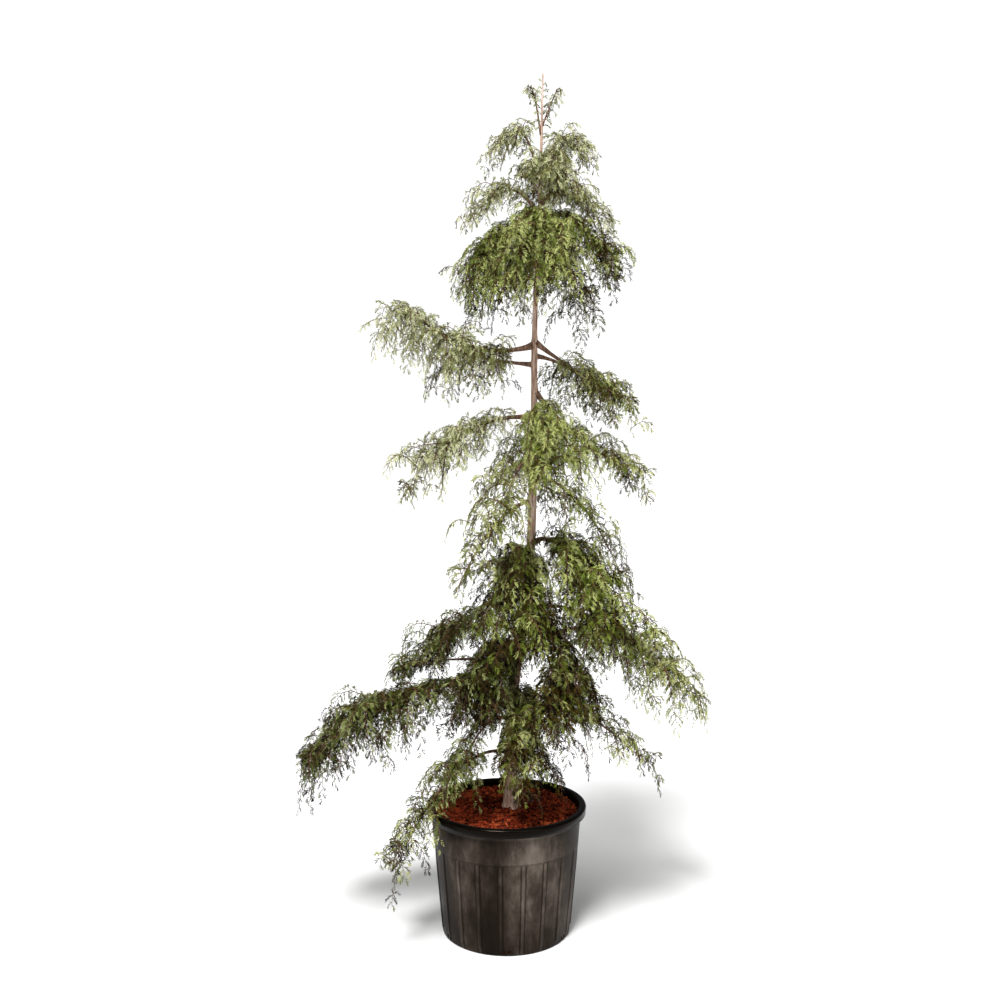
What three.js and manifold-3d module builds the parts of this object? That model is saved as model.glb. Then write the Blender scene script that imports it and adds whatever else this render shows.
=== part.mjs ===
// A winter blue coast redwood with drooping boughs, growing in a ribbed nursery pot.
// Millimetres, +Z up. Seen from -Y, +X is to the right. The origin is the centre of the pot's underside.

import * as THREE from "three";
import { mergeVertices } from "three/addons/utils/BufferGeometryUtils.js";
import Module from "manifold-3d";

const wasm = await Module();
wasm.setup();

// Driving sizes of the pot
const POT_HEIGHT = 420;
const RIM_RADIUS = 265;
const RIM_HEIGHT = 28;
const RIM_ROLL = 8;
const LIP_WIDTH = 24;
const COLLAR_RADIUS = 246;
const COLLAR_SLOPE = 12;
const FOOT_RADIUS = 210;
const FOOT_CHAMFER = 5;
const BAND_BOTTOM = 300;
const BAND_PROUD = 2;
const POT_WALL = 5;
const POT_FLOOR = 6;
const POT_FACETS = 60;
const RIB_COUNT = 20;
const RIB_TURN = -4.8;
const RIB_HEIGHT = 3;
const RIB_HALF_WIDTH = 7;
const RIB_START = 22;
const RIB_END = 294;
const DRAIN_PLACES = 6;
const DRAIN_WIDTH = 10;
const DRAIN_HEIGHT = 12;
const DRAIN_LEVEL = 13;
const DRAIN_SPACING = 18;

// Driving sizes of the soil and the trunk
const SOIL_LEVEL = 400;
const SOIL_DIP = 5;
const SOIL_FLAT_RADIUS = 90;
const TREE_TOP = 2795;
const TRUNK_RADIUS = 21;
const TRUNK_TIP_RADIUS = 2.2;
const FLARE = 12;
const FLARE_HEIGHT = 40;
const FLARE_LOBES = 5;
const FLARE_LOBE_DEPTH = 0.16;
const TRUNK_SIDES = 10;
const TRUNK_STEPS = 26;
const TRUNK_CROWD = 1.25;

// How far the trunk's centre line lies to the right and to the back, at equal steps from soil to tip
const TRUNK_RIGHT = [15, 26, 76, 90, 93, 109, 118];
const TRUNK_BACK = [0, 5, 8, 2, -6, -2, 3];

// Touching pieces keep this gap, and twigs keep the wider one from limbs, pot and other masses
const CLEAR = 0.3;
const TWIG_CLEAR = 5;
const TRUNK_ROOM = 16;
const SPACE_MARGIN = 0.04;
const SPACE_ROOM = 1.5;
const SPACE_LIFT = 0.6;
const STEM_SAMPLES = 12;
const GROUND_CLEAR = 60;

// Limbs and twigs
const BOUGH_SIDES = 5;
const BOUGH_STEPS = 5;
const STEM_STEPS = 5;
const STEM_TIP_RADIUS = 1.6;
const TWIG_SIDES = 3;
const SPRAY_THICKNESS = 5;
const SPRAY_PAIRS = 2;
const SPRAY_TOOTH_LENGTH = 54;
const SPRAY_TAPER = 0.55;
const SPRAY_SPINE = 4;
const SPRAY_ROLL = 50;
const TOOTH_SWEEP = 0.85;
const TOOTH_SHARE_OF_SPREAD = 0.42;
const SWING_AT_START = 78;
const SWING_AT_TIP = 34;
const SWING_JITTER = 24;
const SIZES_TO_TRY = [1, 0.8, 0.62, 0.45];
const LIMB_SAMPLE_STEP = 14;
const FIRST_SEED = 101;

// The boughs from the top down. Heights are above the ground; turn is the compass heading in degrees, 0 to
// the right, 90 to the back, 180 to the left and 270 to the front. reach is how far the stem's end lies from
// the trunk, lift how far the arch is pulled up above its start, tip the height of its end, and bare the
// share of it that is a bough with no foliage. thick is its radius at the trunk. spread and hang are how far
// the sprays reach sideways and droop, and sprays is their number.
const BOUGH_FIELDS = [
  "name", "height", "turn", "reach", "lift", "tip", "bare", "thick", "spread", "hang", "sprays", "tone",
];
const BOUGHS = [
  ["leader_left", 2580, 176, 34, 140, 2752, 0, 2.6, 30, 20, 2, "grey"],
  ["leader_right", 2622, 2, 50, 70, 2745, 0, 2.4, 28, 25, 2, "grey"],
  ["top_left", 2440, 184, 125, 300, 2500, 0, 5, 90, 65, 8, "grey"],
  ["top_right", 2478, 8, 140, 200, 2520, 0, 5, 85, 65, 7, "grey"],
  ["top_front", 2418, 285, 130, 160, 2385, 0, 5, 115, 125, 8, "grey"],
  ["top_back", 2425, 98, 160, 180, 2370, 0, 5, 100, 110, 5, "grey"],
  ["upper_left", 2335, 190, 190, 170, 2330, 0, 6, 100, 75, 8, "grey"],
  ["upper_right", 2372, 352, 185, 120, 2290, 0, 6, 100, 80, 8, "grey"],
  ["skirt_left", 2278, 198, 165, 90, 2160, 0, 6, 120, 185, 10, "fresh"],
  ["skirt_front", 2300, 268, 160, 110, 2170, 0, 6, 150, 210, 11, "fresh"],
  ["skirt_right", 2305, 344, 175, 100, 2230, 0, 6, 120, 150, 10, "fresh"],
  ["skirt_back_right", 2232, 52, 200, 80, 2110, 0, 6, 120, 170, 6, "olive"],
  ["skirt_back_left", 2208, 128, 210, 70, 2090, 0, 6, 120, 170, 6, "olive"],
  ["arm_left", 1925, 184, 425, -70, 2050, 0.2, 9, 115, 185, 10, "grey"],
  ["arm_right", 1935, 350, 265, -100, 1760, 0.32, 8, 95, 130, 7, "olive"],
  ["arm_back_right", 1890, 48, 330, 0, 1790, 0.4, 8, 100, 150, 6, "olive"],
  ["arm_back_left", 1862, 134, 370, 20, 1930, 0.4, 8, 100, 150, 6, "olive"],
  ["mid_right", 1778, 351, 300, -190, 1530, 0.36, 8, 105, 110, 6, "olive"],
  ["mid_left", 1690, 187, 330, 20, 1570, 0.2, 9, 115, 200, 9, "grey"],
  ["mid_front", 1690, 277, 185, 60, 1560, 0, 7, 150, 230, 10, "fresh"],
  ["mid_back", 1615, 82, 350, 40, 1460, 0.3, 8, 130, 190, 4, "olive"],
  ["mid_front_left", 1545, 240, 230, 40, 1330, 0, 7, 135, 200, 9, "olive"],
  ["wand_right", 1490, 4, 290, 20, 1180, 0.3, 6, 80, 120, 6, "olive"],
  ["droop_left", 1420, 178, 255, -20, 1110, 0, 7, 125, 180, 7, "olive"],
  ["dome_right", 1275, 312, 290, 100, 1040, 0, 9, 165, 210, 11, "fresh"],
  ["high_back", 1225, 100, 400, 70, 1020, 0.2, 9, 160, 190, 6, "dark"],
  ["dome_front", 1225, 268, 175, 110, 1000, 0, 8, 170, 230, 11, "fresh"],
  ["clump_left", 1085, 190, 275, 70, 920, 0, 8, 150, 190, 9, "dark"],
  ["back_right", 1035, 42, 430, 90, 880, 0.25, 9, 150, 180, 6, "olive"],
  ["back_left", 980, 142, 450, 80, 810, 0.25, 9, 150, 180, 6, "dark"],
  ["heart_right", 1010, 300, 215, 80, 800, 0, 7, 160, 215, 11, "olive"],
  ["reach_right", 905, 356, 545, 240, 790, 0.3, 11, 130, 190, 10, "olive"],
  ["stub_left", 880, 172, 385, 30, 860, 0.56, 7, 110, 100, 5, "dark"],
  ["low_front", 770, 272, 175, 80, 620, 0, 8, 160, 160, 10, "olive"],
  ["heart_left", 945, 234, 215, 60, 750, 0, 7, 155, 200, 10, "dark"],
  ["reach_left", 765, 183, 625, 150, 590, 0.2, 12, 150, 210, 11, "dark"],
  ["low_right", 735, 342, 420, 70, 610, 0.3, 9, 115, 120, 8, "olive"],
  ["low_back", 705, 88, 400, 60, 580, 0.28, 9, 140, 140, 5, "dark"],
  ["low_front_left", 690, 236, 300, 90, 590, 0, 8, 130, 140, 7, "dark"],
  ["low_left", 585, 203, 370, 70, 320, 0.3, 7, 85, 165, 8, "olive"],
];

// Colours
const COLOURS = {
  pot: "#2b2826",
  soil: "#5a2a1c",
  bark: "#84614c",
  grey: "#6f7a5c",
  olive: "#57612f",
  fresh: "#6a7a35",
  dark: "#454a28",
};

// Small helpers
const UP = new THREE.Vector3(0, 0, 1);

function radians(degrees) {
  return THREE.MathUtils.degToRad(degrees);
}

function mix(from, to, share) {
  return from + (to - from) * share;
}

// A repeatable stream of numbers from 0 to 1 for one seed
function seeded(seed) {
  let state = seed >>> 0;
  return () => {
    state = (state + 0x6d2b79f5) >>> 0;
    let word = Math.imul(state ^ (state >>> 15), state | 1);
    word ^= word + Math.imul(word ^ (word >>> 7), word | 61);
    return ((word ^ (word >>> 14)) >>> 0) / 4294967296;
  };
}

// Solids and meshes
function toSolid(geometry) {
  const bare = new THREE.BufferGeometry();
  bare.setAttribute("position", geometry.getAttribute("position"));
  bare.setIndex(geometry.getIndex());
  const merged = mergeVertices(bare);
  const corners = merged.getIndex().array;
  const faces = [];
  for (let i = 0; i < corners.length; i += 3) {
    const [a, b, c] = [corners[i], corners[i + 1], corners[i + 2]];
    if (a !== b && b !== c && c !== a) {
      faces.push(a, b, c);
    }
  }
  return new wasm.Manifold(new wasm.Mesh({
    numProp: 3,
    vertProperties: new Float32Array(merged.getAttribute("position").array),
    triVerts: new Uint32Array(faces),
  }));
}

function toGeometry(solid) {
  const mesh = solid.getMesh();
  const geometry = new THREE.BufferGeometry();
  geometry.setAttribute("position", new THREE.BufferAttribute(new Float32Array(mesh.vertProperties), 3));
  geometry.setIndex(new THREE.BufferAttribute(new Uint32Array(mesh.triVerts), 1));
  geometry.computeVertexNormals();
  return geometry;
}

// The largest body of a solid, without the scraps that a cut leaves
function mainBody(solid) {
  const bodies = solid.decompose();
  bodies.sort((a, b) => b.volume() - a.volume());
  return bodies[0];
}

function toMesh(name, solid, colour, roughness) {
  const material = new THREE.MeshStandardMaterial({ color: colour, roughness, metalness: 0 });
  const mesh = new THREE.Mesh(toGeometry(solid), material);
  mesh.name = name;
  return mesh;
}

// The pot
const LIP_RADIUS = RIM_RADIUS - LIP_WIDTH;

function wallRadius(height) {
  return mix(FOOT_RADIUS, COLLAR_RADIUS, height / (POT_HEIGHT - RIM_HEIGHT));
}

function turned(profile) {
  const points = profile.map(([radius, height]) => new THREE.Vector2(radius, height));
  const geometry = new THREE.LatheGeometry(points, POT_FACETS);
  return geometry.rotateX(Math.PI / 2);
}

// Every third edge of the turned pot becomes a rib's crest, and its two neighbours the rib's feet
function raiseRibs(geometry, profile) {
  const position = geometry.getAttribute("position");
  const edgesPerRib = POT_FACETS / RIB_COUNT;
  for (let edge = 0; edge <= POT_FACETS; edge++) {
    const rib = Math.round(edge / edgesPerRib);
    const offset = edge - rib * edgesPerRib;
    profile.forEach(([radius, height, ribbed], level) => {
      if (!ribbed) {
        return;
      }
      const angle = (rib / RIB_COUNT) * 2 * Math.PI + offset * (RIB_HALF_WIDTH / radius);
      const raised = offset === 0 ? radius + RIB_HEIGHT : radius;
      const index = edge * profile.length + level;
      position.setXYZ(index, raised * Math.sin(angle), -raised * Math.cos(angle), height);
    });
  }
}

function drainHole(angle, sideways) {
  const hole = new THREE.BoxGeometry(DRAIN_WIDTH, 4 * POT_WALL, DRAIN_HEIGHT);
  hole.translate(sideways, wallRadius(DRAIN_LEVEL), DRAIN_LEVEL);
  hole.rotateZ(angle);
  return toSolid(hole);
}

function makePot() {
  const collar = POT_HEIGHT - RIM_HEIGHT;
  const profile = [
    [0, 0],
    [FOOT_RADIUS - FOOT_CHAMFER, 0],
    [wallRadius(FOOT_CHAMFER), FOOT_CHAMFER],
    [wallRadius(RIB_START), RIB_START, true],
    [wallRadius(RIB_END), RIB_END, true],
    [wallRadius(BAND_BOTTOM) + BAND_PROUD, BAND_BOTTOM],
    [COLLAR_RADIUS, collar - COLLAR_SLOPE],
    [RIM_RADIUS - RIM_ROLL / 4, collar],
    [RIM_RADIUS, POT_HEIGHT - RIM_ROLL],
    [RIM_RADIUS - RIM_ROLL, POT_HEIGHT],
    [LIP_RADIUS + RIM_ROLL, POT_HEIGHT],
    [LIP_RADIUS, POT_HEIGHT - RIM_ROLL],
    [wallRadius(POT_FLOOR) - POT_WALL, POT_FLOOR],
    [0, POT_FLOOR],
  ];
  const geometry = turned(profile);
  raiseRibs(geometry, profile);
  geometry.rotateZ(radians(RIB_TURN));
  let pot = toSolid(geometry);
  for (let place = 0; place < DRAIN_PLACES; place++) {
    const angle = (place / DRAIN_PLACES) * 2 * Math.PI + Math.PI;
    pot = pot.subtract(drainHole(angle, -DRAIN_SPACING / 2));
    pot = pot.subtract(drainHole(angle, DRAIN_SPACING / 2));
  }
  return pot;
}

function insideRadius(height) {
  const foot = wallRadius(POT_FLOOR) - POT_WALL;
  return mix(foot, LIP_RADIUS, (height - POT_FLOOR) / (POT_HEIGHT - RIM_ROLL - POT_FLOOR));
}

function makeSoil() {
  const bottom = POT_FLOOR + CLEAR;
  const edge = SOIL_LEVEL - SOIL_DIP;
  return toSolid(turned([
    [0, bottom],
    [insideRadius(bottom) - CLEAR, bottom],
    [insideRadius(edge) - CLEAR, edge],
    [SOIL_FLAT_RADIUS, SOIL_LEVEL - CLEAR],
    [0, SOIL_LEVEL - CLEAR],
  ]));
}

// The trunk and the limbs
const TRUNK_CURVE = new THREE.CatmullRomCurve3(
  TRUNK_RIGHT.map((right, i) => {
    const height = mix(SOIL_LEVEL, TREE_TOP, i / (TRUNK_RIGHT.length - 1));
    return new THREE.Vector3(right, TRUNK_BACK[i], height);
  }),
  false,
  "catmullrom",
  0.5,
);

function trunkShare(height) {
  return (height - SOIL_LEVEL) / (TREE_TOP - SOIL_LEVEL);
}

// How much of the root flare is left at a share of the trunk's height
function flareAt(share) {
  return Math.exp((-share * (TREE_TOP - SOIL_LEVEL)) / FLARE_HEIGHT);
}

function trunkRadius(share) {
  return mix(TRUNK_RADIUS, TRUNK_TIP_RADIUS, share) + FLARE * flareAt(share);
}

// A round limb along part of a curve: a cylinder's rings are carried to the curve one by one. across is a
// direction square to the curve, and shape gives the radius at a share of the curve and an angle. Rings
// stand square to the curve, or lie level, and crowd above 1 draws them together at the start.
function limb({ curve, across, shape, sides, steps, from = 0, to = 1, level = false, crowd = 1 }) {
  const geometry = new THREE.CylinderGeometry(1, 1, 1, sides, steps);
  const position = geometry.getAttribute("position");
  const local = new THREE.Vector3();
  for (let i = 0; i < position.count; i++) {
    local.fromBufferAttribute(position, i);
    const ring = THREE.MathUtils.clamp(local.y + 0.5, 0, 1);
    const share = mix(from, to, ring ** crowd);
    const tangent = level ? UP : curve.getTangent(share);
    const side = across.clone().addScaledVector(tangent, -across.dot(tangent)).normalize();
    const other = side.clone().cross(tangent);
    const angle = Math.atan2(local.z, local.x);
    const radius = Math.hypot(local.x, local.z) * shape(share, angle);
    const point = curve.getPoint(share);
    point.addScaledVector(side, radius * Math.cos(angle));
    point.addScaledVector(other, radius * Math.sin(angle));
    position.setXYZ(i, point.x, point.y, point.z);
  }
  return toSolid(geometry);
}

// The grown trunk cuts the boughs that start inside the real one, so that they stop clear of its bark
function makeTrunk(grown) {
  const shape = (share, angle) => {
    const lobes = FLARE_LOBE_DEPTH * Math.cos(FLARE_LOBES * angle) * flareAt(share);
    return trunkRadius(share) * (1 + lobes) + grown;
  };
  return limb({
    curve: TRUNK_CURVE,
    across: new THREE.Vector3(1, 0, 0),
    shape,
    sides: TRUNK_SIDES,
    steps: TRUNK_STEPS,
    level: true,
    crowd: TRUNK_CROWD,
  });
}

// The curve of a bough and of the stem that carries its foliage on: one arch in an upright plane
function boughCurve(row) {
  const start = TRUNK_CURVE.getPoint(trunkShare(row.height));
  const heading = new THREE.Vector3(Math.cos(radians(row.turn)), Math.sin(radians(row.turn)), 0);
  const crest = start.clone().addScaledVector(heading, row.reach / 2);
  crest.z = row.height + row.lift;
  const end = start.clone().addScaledVector(heading, row.reach);
  end.z = row.tip;
  return new THREE.QuadraticBezierCurve3(start, crest, end);
}

function boughRadius(row, share) {
  return mix(row.thick, STEM_TIP_RADIUS, share ** 0.8);
}

function boughAcross(row) {
  return new THREE.Vector3(-Math.sin(radians(row.turn)), Math.cos(radians(row.turn)), 0);
}

// Spaces: every mass holds the places that are nearest to its own stem, measured by its spread and hang
function stemSamples(row) {
  const samples = [];
  for (let i = 0; i <= STEM_SAMPLES; i++) {
    samples.push(row.curve.getPoint(mix(row.leafy, 1, i / STEM_SAMPLES)));
  }
  return samples;
}

function measure(row, point) {
  const wide = SPACE_ROOM * row.spread;
  let nearest = Infinity;
  for (const sample of row.samples) {
    const sideways = Math.hypot(point.x - sample.x, point.y - sample.y) / wide;
    const upright = point.z - sample.z;
    const tall = SPACE_ROOM * (upright < 0 ? row.hang : SPACE_LIFT * row.spread);
    nearest = Math.min(nearest, Math.hypot(sideways, upright / tall));
  }
  return nearest;
}

function inOwnSpace(row, point) {
  const own = measure(row, point);
  if (own > 1) {
    return false;
  }
  return ROWS.every((other) => other === row || measure(other, point) > own + SPACE_MARGIN);
}

// What a twig has to keep clear of: limbs, pot and ground
function limbSamples(curve, radiusAt, from, to) {
  const samples = [];
  const count = Math.ceil((curve.getLength() * (to - from)) / LIMB_SAMPLE_STEP);
  for (let i = 0; i <= count; i++) {
    const share = mix(from, to, i / count);
    samples.push({ centre: curve.getPoint(share), radius: radiusAt(share) });
  }
  return samples;
}

function touchesLimb(row, point) {
  return LIMBS.some((sample) => {
    const room = sample.radius + TWIG_CLEAR + LIMB_SAMPLE_STEP / 4;
    return sample.owner !== row && point.distanceToSquared(sample.centre) < room * room;
  });
}

function nearPotOrGround(point) {
  const radial = Math.hypot(point.x, point.y);
  const overSoil = radial < LIP_RADIUS - 2 * TWIG_CLEAR && point.z > SOIL_LEVEL + 2 * TWIG_CLEAR;
  const besidePot = radial < RIM_RADIUS + 2 * TWIG_CLEAR && point.z < POT_HEIGHT + 2 * TWIG_CLEAR;
  return point.z < GROUND_CLEAR || (besidePot && !overSoil);
}

function isFree(row, point) {
  return !nearPotOrGround(point) && !touchesLimb(row, point) && inOwnSpace(row, point);
}

// A spray: a slender ridge along a drooping curve, with pairs of pointed teeth for its side shoots
function sprayCorners(curve, across, toothLength) {
  const ridge = [];
  const left = [];
  const right = [];
  const leftTips = [];
  const rightTips = [];
  for (let i = 0; i <= SPRAY_PAIRS; i++) {
    const share = i / SPRAY_PAIRS;
    const point = curve.getPoint(share);
    const tangent = curve.getTangent(share);
    const side = across.clone().addScaledVector(tangent, -across.dot(tangent)).normalize();
    const normal = tangent.clone().cross(side);
    const slim = 1 - share;
    ridge.push(point.clone().addScaledVector(normal, (SPRAY_THICKNESS / 2) * slim));
    const low = point.clone().addScaledVector(normal, (-SPRAY_THICKNESS / 2) * slim);
    left.push(low.clone().addScaledVector(side, SPRAY_SPINE * slim));
    right.push(low.clone().addScaledVector(side, -SPRAY_SPINE * slim));
    if (i < SPRAY_PAIRS) {
      const tip = curve.getPoint((i + TOOTH_SWEEP) / SPRAY_PAIRS);
      const reach = toothLength * (1 - SPRAY_TAPER * share);
      leftTips.push(tip.clone().addScaledVector(side, reach));
      rightTips.push(tip.clone().addScaledVector(side, -reach));
    }
  }
  return { ridge, left, right, leftTips, rightTips };
}

function sprayGeometry({ ridge, left, right, leftTips, rightTips }) {
  const points = [...ridge, ...left, ...right, ...leftTips, ...rightTips];
  const count = ridge.length;
  const faces = [];
  const top = (i) => i;
  const leftRoot = (i) => count + i;
  const rightRoot = (i) => 2 * count + i;
  const leftTip = (i) => 3 * count + i;
  const rightTip = (i) => 4 * count - 1 + i;
  faces.push(top(0), leftRoot(0), rightRoot(0));
  for (let i = 0; i < count - 1; i++) {
    faces.push(top(i), leftTip(i), leftRoot(i), top(i), top(i + 1), leftTip(i));
    faces.push(top(i + 1), leftRoot(i + 1), leftTip(i), leftRoot(i), leftTip(i), leftRoot(i + 1));
    faces.push(top(i), rightRoot(i), rightTip(i), top(i), rightTip(i), top(i + 1));
    faces.push(top(i + 1), rightTip(i), rightRoot(i + 1), rightRoot(i), rightRoot(i + 1), rightTip(i));
    faces.push(leftRoot(i), leftRoot(i + 1), rightRoot(i + 1), leftRoot(i), rightRoot(i + 1), rightRoot(i));
  }
  const geometry = new THREE.BufferGeometry();
  geometry.setAttribute("position", new THREE.BufferAttribute(
    new Float32Array(points.flatMap((point) => point.toArray())), 3));
  geometry.setIndex(faces);
  return geometry;
}

// The growth rule: sprays leave the stem left and right in turn, arch out, and hang. The last carries the
// stem's own line on. Every number is drawn before the tests, so that a skipped spray changes no other.
function sprayCurve(row, draw, index, size) {
  const last = index === row.sprays - 1;
  const along = last ? 1 : (index + 0.35 + 0.5 * draw.along) / row.sprays;
  const share = mix(row.leafy, 1, along * 0.99);
  const base = row.curve.getPoint(share);
  const ahead = row.curve.getTangent(share);
  const side = index % 2 === 0 ? 1 : -1;
  const opening = mix(SWING_AT_START, SWING_AT_TIP, along) + SWING_JITTER * (draw.swing - 0.5);
  const swing = last ? 0 : side * radians(opening);
  const flat = new THREE.Vector3(Math.cos(radians(row.turn) + swing), Math.sin(radians(row.turn) + swing), 0);
  const full = 0.72 + 0.28 * Math.sin(Math.PI * Math.min(1, along + 0.15));
  const reach = size * row.spread * full * mix(0.75, 1.1, draw.reach) * (last ? 0.8 : 1);
  const rise = size * row.spread * mix(-0.05, 0.4, draw.rise);
  const drop = size * row.hang * mix(0.45, 1.05, draw.drop);
  const shoulder = base.clone().addScaledVector(flat, reach * 0.8);
  shoulder.z += rise + Math.max(0, ahead.z) * reach * 0.5;
  const end = base.clone().addScaledVector(flat, reach);
  end.z -= drop;
  return new THREE.QuadraticBezierCurve3(base, shoulder, end);
}

function sprayAcross(curve, roll) {
  const line = curve.v2.clone().sub(curve.v0);
  const level = new THREE.Vector3(-line.y, line.x, 0).normalize();
  return level.applyAxisAngle(line.normalize(), roll);
}

function growSprays(row) {
  const random = seeded(row.seed);
  const sprays = [];
  for (let index = 0; index < row.sprays; index++) {
    const draw = {
      along: random(),
      swing: random(),
      reach: random(),
      rise: random(),
      drop: random(),
      roll: random(),
    };
    for (const size of SIZES_TO_TRY) {
      const curve = sprayCurve(row, draw, index, size);
      const across = sprayAcross(curve, radians(mix(-SPRAY_ROLL, SPRAY_ROLL, draw.roll)));
      const toothLength = Math.min(SPRAY_TOOTH_LENGTH, TOOTH_SHARE_OF_SPREAD * row.spread);
      const corners = sprayCorners(curve, across, toothLength);
      const outer = [...corners.ridge.slice(1), ...corners.leftTips, ...corners.rightTips];
      if (outer.every((point) => isFree(row, point))) {
        sprays.push(toSolid(sprayGeometry(corners)));
        break;
      }
    }
  }
  return sprays;
}

// Rows with their curves, and everything that a twig may touch
const ROWS = BOUGHS.map((values, index) => {
  const row = Object.fromEntries(values.map((value, i) => [BOUGH_FIELDS[i], value]));
  const full = { ...row, seed: FIRST_SEED + index, curve: boughCurve(row) };
  full.leafy = Math.max(row.bare, (trunkRadius(trunkShare(row.height)) + TRUNK_ROOM) / row.reach);
  full.samples = stemSamples(full);
  return full;
});

const LIMBS = limbSamples(TRUNK_CURVE, trunkRadius, 0, 1);
for (const row of ROWS) {
  LIMBS.push(...limbSamples(row.curve, (share) => boughRadius(row, share), 0, Math.max(row.bare, 0.02)));
  const stem = limbSamples(row.curve, (share) => boughRadius(row, share), row.bare, 1);
  LIMBS.push(...stem.map((sample) => ({ ...sample, owner: row })));
}

function makeBough(row, trunkCutter) {
  const whole = limb({
    curve: row.curve,
    across: boughAcross(row),
    shape: (share) => boughRadius(row, share),
    sides: BOUGH_SIDES,
    steps: BOUGH_STEPS,
    to: row.bare,
  });
  return mainBody(whole.subtract(trunkCutter));
}

function makeMass(row, trunkCutter) {
  const startSpeed = row.curve.v1.distanceTo(row.curve.v0) * 2;
  const from = row.bare > 0 ? row.bare + CLEAR / startSpeed : 0;
  const stem = limb({
    curve: row.curve,
    across: boughAcross(row),
    shape: (share) => boughRadius(row, share),
    sides: TWIG_SIDES,
    steps: STEM_STEPS,
    from,
  });
  let mass = row.bare > 0 ? stem : mainBody(stem.subtract(trunkCutter));
  for (const spray of growSprays(row)) {
    mass = mass.add(spray);
  }
  return mainBody(mass);
}

// The whole plant
const group = new THREE.Group();
const trunkCutter = makeTrunk(CLEAR);
group.add(toMesh("pot", makePot(), COLOURS.pot, 0.45));
group.add(toMesh("soil", makeSoil(), COLOURS.soil, 0.95));
group.add(toMesh("trunk", makeTrunk(0), COLOURS.bark, 0.85));
for (const row of ROWS) {
  if (row.bare > 0) {
    group.add(toMesh(`bough_${row.name}`, makeBough(row, trunkCutter), COLOURS.bark, 0.85));
  }
  group.add(toMesh(`mass_${row.name}`, makeMass(row, trunkCutter), COLOURS[row.tone], 0.75));
}

export default group;
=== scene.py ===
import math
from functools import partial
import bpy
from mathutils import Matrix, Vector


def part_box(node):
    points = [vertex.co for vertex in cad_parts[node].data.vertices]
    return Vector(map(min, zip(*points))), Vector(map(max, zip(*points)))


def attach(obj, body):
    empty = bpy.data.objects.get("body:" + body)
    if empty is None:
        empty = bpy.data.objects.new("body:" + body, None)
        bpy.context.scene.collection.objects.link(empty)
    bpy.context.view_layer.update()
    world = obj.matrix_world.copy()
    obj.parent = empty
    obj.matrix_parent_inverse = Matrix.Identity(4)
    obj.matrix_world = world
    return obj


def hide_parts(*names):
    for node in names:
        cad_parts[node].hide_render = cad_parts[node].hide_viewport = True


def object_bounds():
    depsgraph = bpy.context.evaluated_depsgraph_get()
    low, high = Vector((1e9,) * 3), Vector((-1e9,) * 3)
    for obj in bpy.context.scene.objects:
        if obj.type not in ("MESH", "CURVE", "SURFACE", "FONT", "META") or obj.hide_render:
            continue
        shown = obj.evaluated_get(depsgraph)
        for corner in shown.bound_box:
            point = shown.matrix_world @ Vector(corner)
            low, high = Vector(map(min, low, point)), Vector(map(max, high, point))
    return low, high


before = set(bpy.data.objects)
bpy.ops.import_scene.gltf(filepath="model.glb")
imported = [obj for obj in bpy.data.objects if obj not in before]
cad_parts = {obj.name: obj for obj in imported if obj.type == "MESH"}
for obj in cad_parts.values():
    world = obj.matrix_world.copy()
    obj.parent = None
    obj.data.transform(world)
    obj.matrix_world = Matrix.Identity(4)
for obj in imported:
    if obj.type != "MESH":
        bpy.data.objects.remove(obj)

# The looks of a winter blue coast redwood with drooping boughs, in a ribbed nursery pot.
# Metres, +Z up. Seen from -Y, +X is to the right. The pot stands on z = 0 round the z axis.

from types import SimpleNamespace

import bpy
import numpy as np

CAD_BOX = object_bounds()

# Sizes that come from the frame
POT_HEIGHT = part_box("pot")[1].z
RIM_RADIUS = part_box("pot")[1].x
SOIL_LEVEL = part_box("trunk")[0].z
TREE_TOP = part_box("trunk")[1].z

# The pot
RIM_HEIGHT = 0.028
RIM_ROLL = 0.008
LIP_WIDTH = 0.024
MOUTH_RADIUS = RIM_RADIUS - LIP_WIDTH
COLLAR_RADIUS = 0.246
COLLAR_SLOPE = 0.012
FOOT_RADIUS = 0.21
FOOT_CHAMFER = 0.005
UNDERSIDE_RING = 0.6
BAND_BOTTOM = 0.3
BAND_PROUD = 0.002
BAND_RINGS = (0.03, 0.5, 0.97, 1)
COLLAR_ROUND = 0.001
POT_WALL = 0.005
POT_FLOOR = 0.006
RIB_COUNT = 20
RIB_TURN = -4.8
RIB_HEIGHT = 0.003
RIB_HALF_WIDTH = 0.007
RIB_START = 0.022
RIB_END = 0.294
RIB_FADE = 0.006
POT_COLUMNS_PER_RIB = 24
WALL_RINGS = 6
INSIDE_LEVELS = (0.3, 0.15, POT_FLOOR)
ROLL_STEPS = 7
FOOT_STEPS = 5
DRAIN_PLACES = 6
DRAIN_WIDTH = 0.01
DRAIN_HEIGHT = 0.012
DRAIN_LEVEL = 0.013
DRAIN_SPACING = 0.018

# The mulch on the soil
CHIP_SEED = 7
SOIL_DIP = 0.005
CHIP_COUNT = 2300
CHIP_LENGTHS = (0.01, 0.034)
CHIP_WIDTHS = (0.005, 0.013)
CHIP_THICKNESSES = (0.0025, 0.006)
CHIP_TILT = 28
CHIP_WEAR = (0.6, 1)
CHIP_PILE = 0.007
CHIP_EDGE = 0.012
CHIP_CLEAR = 0.003
BOX_CORNERS = np.array([(x, y, z) for x in (-0.5, 0.5) for y in (-0.5, 0.5) for z in (-0.5, 0.5)])
BOX_FACES = np.array([(0, 1, 3, 2), (4, 6, 7, 5), (0, 4, 5, 1), (2, 3, 7, 6), (0, 2, 6, 4), (1, 5, 7, 3)])

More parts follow.
